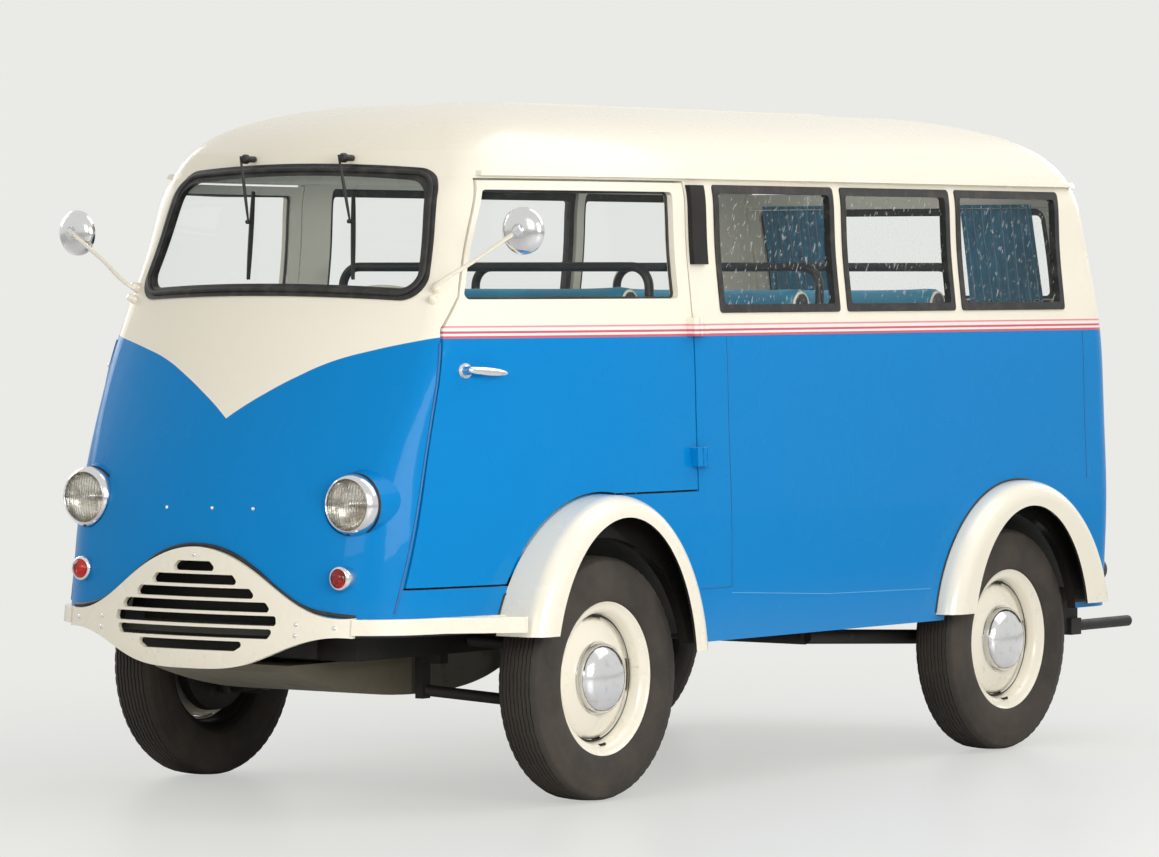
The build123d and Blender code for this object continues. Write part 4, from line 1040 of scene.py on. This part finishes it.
for label, x in (("a", -WIPER_X), ("b", WIPER_X)):
    pivot = at(x, -0.440, 1.792)
    turned_piece(f"wiper_pivot_{label}", [(-0.040, 0.009), (-0.010, 0.009), (-0.006, 0.0135), (0.004, 0.0135),
                                          (0.010, 0.010), (0.012, 0.0)],
                 pivot, AHEAD, "body", "black", 28, ("wipers",))
    knee = at(x - 0.012, -0.448, 1.800)
    middle = before_screen(x + WIPER_LEAN * 0.55, 1.615, 0.020)
    blade_top = before_screen(x + WIPER_LEAN * 0.32, 1.700, 0.010)
    blade_foot = before_screen(x + WIPER_LEAN * 1.02, 1.455, 0.010)
    blade(f"wiper_arm_{label}", knee, middle, 0.0045, 0.0028, "black", "body")
    blade(f"wiper_spine_{label}", blade_top, blade_foot, 0.0038, 0.0050, "black", "body")
    squeegee_top = before_screen(x + WIPER_LEAN * 0.32, 1.700, 0.0035)
    squeegee_foot = before_screen(x + WIPER_LEAN * 1.02, 1.455, 0.0035)
    rubber_edge = blade(f"wiper_rubber_{label}", squeegee_top, squeegee_foot, 0.0016, 0.0060, "seal", "body")
    turned_piece(f"wiper_clip_{label}", [(-0.010, 0.0), (-0.010, 0.006), (0.006, 0.006), (0.008, 0.0)],
                 middle, AHEAD, "body", "black", 16)

HANDLE_AT = (-0.462, 1.205)
LEVER = [(-0.014, 0.0072, 0.0072), (0.0, 0.0105, 0.0095), (0.018, 0.0110, 0.0090), (0.045, 0.0120, 0.0078),
         (0.075, 0.0115, 0.0068), (0.100, 0.0090, 0.0056), (0.117, 0.0055, 0.0040), (0.123, 0.0015, 0.0012)]
for side, sign in SIDES:
    hit, normal = on_skin(at(sign * 1.2, *HANDLE_AT), ACROSS * -sign)
    body = f"door_{side}"
    turned_piece(f"handle_plate_{side}", [(-0.003, 0.0220), (0.002, 0.0225), (0.0055, 0.0205),
                                          (0.0065, 0.0150),
                                          (0.0120, 0.0125), (0.0300, 0.0105), (0.0340, 0.0095),
                                          (0.0380, 0.0060), (0.0390, 0.0)],
                 hit, normal, body, "chrome", 40, (f"door_handle_{side}",))
    root = hit + normal * 0.033
    reach = Vector((0.0, 1.0, -0.10))
    reach = (reach - normal * reach.dot(normal)).normalized()
    upward = normal.cross(reach).normalized()
    verts = []
    for along, high, deep in LEVER:
        for step in range(20):
            turn = 2 * math.pi * step / 20
            raised = upward * high * math.cos(turn)
            verts.append(root + reach * along + raised + normal * deep * math.sin(turn))
    faces = strip_faces(len(LEVER) - 1, 20, True)
    faces += [tuple(reversed(range(20))), tuple((len(LEVER) - 1) * 20 + i for i in range(20))]
    lever = mesh_piece(f"handle_lever_{side}", verts, faces, body, "chrome",
                       (f"door_handle_{side}",))
    smooth = lever.modifiers.new("smooth", "SUBSURF")
    smooth.levels = smooth.render_levels = 1

# Tailgate handle, low on the lid
hit, normal = on_skin(Vector((0.0, at(0, 3.4, 0).y, 0.72)), AHEAD)
turned_piece("gate_handle_plate", [(-0.003, 0.024), (0.003, 0.024), (0.006, 0.020), (0.010, 0.011),
                                   (0.030, 0.010), (0.033, 0.006), (0.034, 0.0)],
             hit, normal, "tailgate", "chrome", 36)
tube_piece("gate_handle_bar", [hit + normal * 0.028 + ACROSS * x for x in (-0.052, -0.03, 0.0, 0.03, 0.052)],
           0.0075, "tailgate", "chrome")

# --- Benches: crowned, piped cushions on their bases ---
def cushion(name, low, high, face, crown, flutes, radius=0.035):
    """A padded block whose main face swells and carries sewn flutes.

    face is the axis of the main face with its sign, such as "+z" or "-y"."""
    low, high = Vector(low), Vector(high)
    middle, half = (low + high) / 2, (high - low) / 2
    axis = "xyz".index(face[1])
    sense = 1 if face[0] == "+" else -1
    bm = bmesh.new()
    bmesh.ops.create_cube(bm, size=2.0)
    cuts = 44
    bmesh.ops.subdivide_edges(bm, edges=bm.edges[:], cuts=cuts, use_grid_fill=True)
    others = [i for i in range(3) if i != axis]
    wide = others[0] if half[others[0]] > half[others[1]] else others[1]
    long_other = others[1] if wide == others[0] else others[0]
    soft = min(radius, min(half) * 0.9)
    for vert in bm.verts:
        spot = Vector(vert.co)
        inner = Vector([max(-half[i] + soft, min(half[i] - soft, spot[i] * half[i])) for i in range(3)])
        edge = Vector([spot[i] * half[i] for i in range(3)]) - inner
        shape = inner + (edge.normalized() * soft if edge.length > 1e-6 else Vector())
        swell = max(0.0, 1 - spot[wide] ** 4) * max(0.0, 1 - spot[long_other] ** 4)
        if spot[axis] * sense > 0.2:
            depth = crown * swell
            if flutes:
                lane = (spot[wide] * 0.5 + 0.5) * flutes
                valley = abs(lane - round(lane)) * 2
                inside = max(0.0, 1 - abs(spot[long_other]) ** 10)
                depth -= 0.011 * math.exp(-(valley / 0.16) ** 2) * inside * swell ** 0.3
            shape[axis] += sense * depth
        for i in (wide, long_other):
            pull = 0.010 * max(0.0, 1 - spot[axis] ** 2) * max(0.0, 1 - spot[wide if i == long_other else
                                                                          long_other] ** 6)
            if abs(spot[i]) > 0.98:
                shape[i] -= math.copysign(pull, spot[i])
        vert.co = middle + shape
    mesh = bpy.data.meshes.new(name)
    bm.to_mesh(mesh)
    bm.free()
    return mesh


def end_loop(low, high, soft, sign):
    """A loop round one end of a cushion, on the middle of its rounded edge."""
    inset = 0.29 * soft
    x = sign * (high[0] - inset)
    flat = rounded([(low[1] + inset, low[2] + inset), (high[1] - inset, low[2] + inset),
                    (high[1] - inset, high[2] - inset), (low[1] + inset, high[2] - inset)], 0.72 * soft, 6)
    return [Vector((x, y, z)) for y, z in flat]


BACK_DEPTH = 0.120
CUSHION_DEPTH = 0.130
CAB_SEAT_TOP, BENCH_TOP = 0.923, 0.930
BENCH_HALF, BENCH_LIP = 0.54, 0.012
PAD_EDGE = {"cushion": 0.040, "back": 0.052}
for seat, panels in (("cab_seat", 7), ("middle_seat", 8), ("rear_seat", 8)):
    low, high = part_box(seat)
    seat_top = CAB_SEAT_TOP if seat == "cab_seat" else BENCH_TOP
    seat_foot = seat_top - CUSHION_DEPTH
    back_front = high.y - BACK_DEPTH
    parts = {
        "cushion": ((low.x + 0.004, low.y + 0.004, seat_foot), (high.x - 0.004, back_front - 0.004,
                                                              seat_top - 0.012), "+z", 0.020, panels),
        "back": ((low.x + 0.004, back_front + 0.012, seat_foot + 0.02), (high.x - 0.004, high.y - 0.004,
                                                                       high.z - 0.004), "-y", 0.014, panels),
    }
    for part, (a, b, face, crown, flutes) in parts.items():
        soft = PAD_EDGE[part]
        mesh = cushion(f"{seat}_{part}", a, b, face, crown, flutes, soft)
        pad = finish_piece(bpy.data.objects.new(f"{seat}_{part}", mesh), "body", "bench", (seat,))
        for sign in (1, -1):
            tube_piece(mirrored_name(f"{seat}_{part}_piping", sign), end_loop(a, b, soft, sign), 0.0045,
                       "body", "piping", closed=True, sides=3)
    if seat != "cab_seat":
        half, front, rear, top = BENCH_HALF, low.y + 0.06, high.y - 0.03, seat_foot - 0.001
        lip = BENCH_LIP
        corners = rounded([(-half, front), (half, front), (half, rear), (-half, rear)], 0.03, 4)
        levels = [(0.5125, 0.0), (0.532, 0.0), (0.534, lip), (top - 0.02, lip), (top - 0.016, 0.0),
                  (top, 0.0)]
        verts = []
        for height, inset in levels:
            for a, b in corners:
                inward_y = inset if b < (front + rear) / 2 else -inset
                verts.append(Vector((a - math.copysign(inset, a), b + inward_y, height)))
        count = len(corners)
        faces = strip_faces(len(levels) - 1, count, True)
        faces.append(tuple(range((len(levels) - 1) * count, len(levels) * count)))
        mesh_piece(f"{seat}_base", verts, faces, "body", "grey_vinyl", (seat,), sharp=30)

# --- Curtains at the tailgate window, gathered on two wires ---
CURTAIN_IN, CURTAIN_OUT = 0.245, 0.520
CURTAIN_FOOT, CURTAIN_HEAD = 1.375, 1.690
CURTAIN_CLEAR = 0.022


gate_tree = surface_tree(["tailgate"])
CURTAIN_FOLDS = 8
for sign in (1, -1):
    columns, rows = 200, 24
    wires = {}
    for height in (CURTAIN_FOOT + 0.012, CURTAIN_HEAD - 0.012):
        hit, _ = on_skin(Vector((sign * 0.57, at(0, 2.3, 0).y, height)), BACK, gate_tree)
        wires[height] = hit.y - CURTAIN_CLEAR
    heights = sorted(wires)
    verts = []
    for row in range(rows + 1):
        share = row / rows
        height = CURTAIN_FOOT + (CURTAIN_HEAD - CURTAIN_FOOT) * share
        depth = wires[heights[0]] + (wires[heights[1]] - wires[heights[0]]) * share
        loose = 0.65 + 0.35 * math.sin(math.pi * share)
        for column in range(columns + 1):
            across = column / columns
            wave = across * CURTAIN_FOLDS + 0.10 * math.sin(5.1 * across * math.pi) * (share - 0.5)
            fold = math.sin(2 * math.pi * wave) + 0.22 * math.sin(4 * math.pi * wave + 1.3 + share)
            x = CURTAIN_IN + (CURTAIN_OUT - CURTAIN_IN) * across + 0.004 * math.sin(9.0 * across + 2 * share)
            verts.append(Vector((sign * x, depth + 0.0065 * loose * fold, height)))
    faces = strip_faces(rows, columns + 1, False)
    drop = (verts[rows * (columns + 1)] - verts[0]).length
    cloth = mesh_piece(mirrored_name("curtain", sign), verts, faces, "tailgate", "curtain")
    for label, height in zip(("low", "high"), heights):
        ends = []
        for x in (CURTAIN_IN - 0.03, 0.578):
            ends.append(Vector((sign * x, wires[height], height)))
        tube_piece(mirrored_name(f"curtain_wire_{label}", sign), ends, 0.0022, "tailgate", "chrome",
                   straight=True)

# --- Trim inside the doors and along the sides ---
def wall_trim(name, corners, sign, body, look="teal", clear=0.004, thick=0.006):
    """A soft panel on the inside of a side wall; corners are (station, height), going round."""
    tree = surface_tree([body] if body.startswith("door") else ["side_panels"])
    rows, columns = 10, 24
    (y0, z0), (y1, _), (y2, z1), (y3, _) = corners
    verts = []
    for row in range(rows + 1):
        share = row / rows
        for column in range(columns + 1):
            across = column / columns
            low_y = y0 + (y1 - y0) * across
            high_y = y3 + (y2 - y3) * across
            station = low_y + (high_y - low_y) * share
            height = z0 + (z1 - z0) * share
            hit, normal = on_skin(at(sign * 0.30, station, height), ACROSS * sign, tree)
            verts.append((hit + normal * clear) if hit is not None else None)
    faces = [quad for quad in strip_faces(rows, columns + 1, False)
             if all(verts[i] is not None for i in quad)]
    filler = next(v for v in verts if v is not None)
    panel = mesh_piece(name, [v if v is not None else filler for v in verts], faces, body, look)
    solid = panel.modifiers.new("thickness", "SOLIDIFY")
    solid.thickness = thick
    solid.offset = 0
    return panel


for side, sign in SIDES:
    wall_trim(f"door_trim_{side}", [(-0.36, 0.90), (0.40, 0.90), (0.40, 1.386), (-0.40, 1.386)], sign,
              f"door_{side}")
    wall_trim(f"side_trim_{side}", [(0.62, 0.90), (2.48, 0.90), (2.48, 1.335), (0.62, 1.335)], sign, "body")

# --- Front springs ---
SPRING_TURNS, SPRING_RADIUS, SPRING_WIRE = 5.5, 0.046, 0.0058
SPRING_X, SPRING_FOOT, SPRING_HEAD = 0.500, 0.292, 0.455
for sign in (1, -1):
    points = []
    for i in range(int(SPRING_TURNS * 12) + 1):
        turn = 2 * math.pi * i / 12
        height = SPRING_FOOT + (SPRING_HEAD - SPRING_FOOT) * i / (SPRING_TURNS * 12)
        across = sign * SPRING_X + SPRING_RADIUS * math.cos(turn)
        points.append(at(across, SPRING_RADIUS * math.sin(turn), height))
    tube_piece(mirrored_name("spring", sign), points, SPRING_WIRE, "body", "chassis", sides=3)

# --- Lights and backdrop ---
BACKDROP = srgb(234, 234, 231)
world = bpy.data.worlds.new("studio")
bpy.context.scene.world = world
world.use_nodes = True
tree = world.node_tree
background = tree.nodes["Background"]
background.inputs["Color"].default_value = (1.0, 1.0, 1.0, 1)
background.inputs["Strength"].default_value = 0.50
shown = tree.nodes.new("ShaderNodeBackground")
shown.inputs["Color"].default_value = BACKDROP
shown.inputs["Strength"].default_value = 1.0
path = tree.nodes.new("ShaderNodeLightPath")
mixed = tree.nodes.new("ShaderNodeMixShader")
tree.links.new(path.outputs["Is Diffuse Ray"], mixed.inputs[0])
tree.links.new(shown.outputs[0], mixed.inputs[1])
tree.links.new(background.outputs[0], mixed.inputs[2])
tree.links.new(mixed.outputs[0], tree.nodes["World Output"].inputs[0])


def area_light(name, place, target, size, power):
    data = bpy.data.lights.new(name, "AREA")
    data.shape = "RECTANGLE"
    data.size, data.size_y = size
    data.energy = power
    lamp = bpy.data.objects.new(name, data)
    bpy.context.scene.collection.objects.link(lamp)
    lamp.location = place
    lamp.rotation_euler = (Vector(target) - Vector(place)).to_track_quat("-Z", "Y").to_euler()


area_light("top", (2.6, 1.6, 5.0), (0.6, 0.8, 0), (3.5, 6.0), 115)
area_light("nose_side", (1.5, -8.0, 3.0), (0, -1.4, 0.9), (3.0, 2.2), 70)
area_light("flank", (5.4, -3.5, 2.4), (0.6, -0.8, 0.9), (3.4, 2.2), 160)
area_light("far_side", (-7.0, 0.5, 3.6), (0, 0.2, 0.9), (5.0, 2.5), 150)
area_light("tail", (0.0, 8.0, 3.4), (0, 1.8, 0.9), (3.5, 2.2), 120)
area_light("cabin", (0.0, 0.4, 1.90), (0.0, 0.4, 0.0), (0.7, 2.6), 13)
bpy.data.objects["cabin"].visible_camera = False
bpy.data.objects["cabin"].visible_glossy = False

FLOOR_NEAR, FLOOR_FAR = 2.6, 4.8      # where the floor starts and ends its fade into the background
FLOOR_GLOW = 0.60                     # how far the studio light fills the shadows on the floor
floor_mesh = bpy.data.meshes.new("studio_floor")
floor_mesh.from_pydata([(-40, -40, 0), (40, -40, 0), (40, 40, 0), (-40, 40, 0)], [], [(0, 1, 2, 3)])
floor = bpy.data.objects.new("studio_floor", floor_mesh)
bpy.context.scene.collection.objects.link(floor)
floor_look = Shader("studio_floor", srgb(226, 225, 221), Roughness=0.35)
floor_look.roughness(floor_look.noise(0.8, 4.0), 0.26, 0.46)
reach = floor_look.add("ShaderNodeVectorMath", {0: floor_look.object}, operation="LENGTH").outputs["Value"]
fade = floor_look.step(reach, FLOOR_NEAR, FLOOR_FAR)
seen = floor_look.add("ShaderNodeLightPath").outputs["Is Camera Ray"]
glow = floor_look.add("ShaderNodeEmission", {"Color": BACKDROP, "Strength": 1.0})
filled = floor_look.math("MULTIPLY_ADD", fade, 1.0 - FLOOR_GLOW, FLOOR_GLOW)
blend = floor_look.add("ShaderNodeMixShader", {0: floor_look.math("MULTIPLY", filled, seen),
                                               1: floor_look.bsdf.outputs[0], 2: glow.outputs[0]})
floor_look.tree.links.new(blend.outputs[0], floor_look.tree.nodes["Material Output"].inputs[0])
floor.data.materials.append(floor_look.material)

bpy.context.scene.view_settings.view_transform = "Standard"
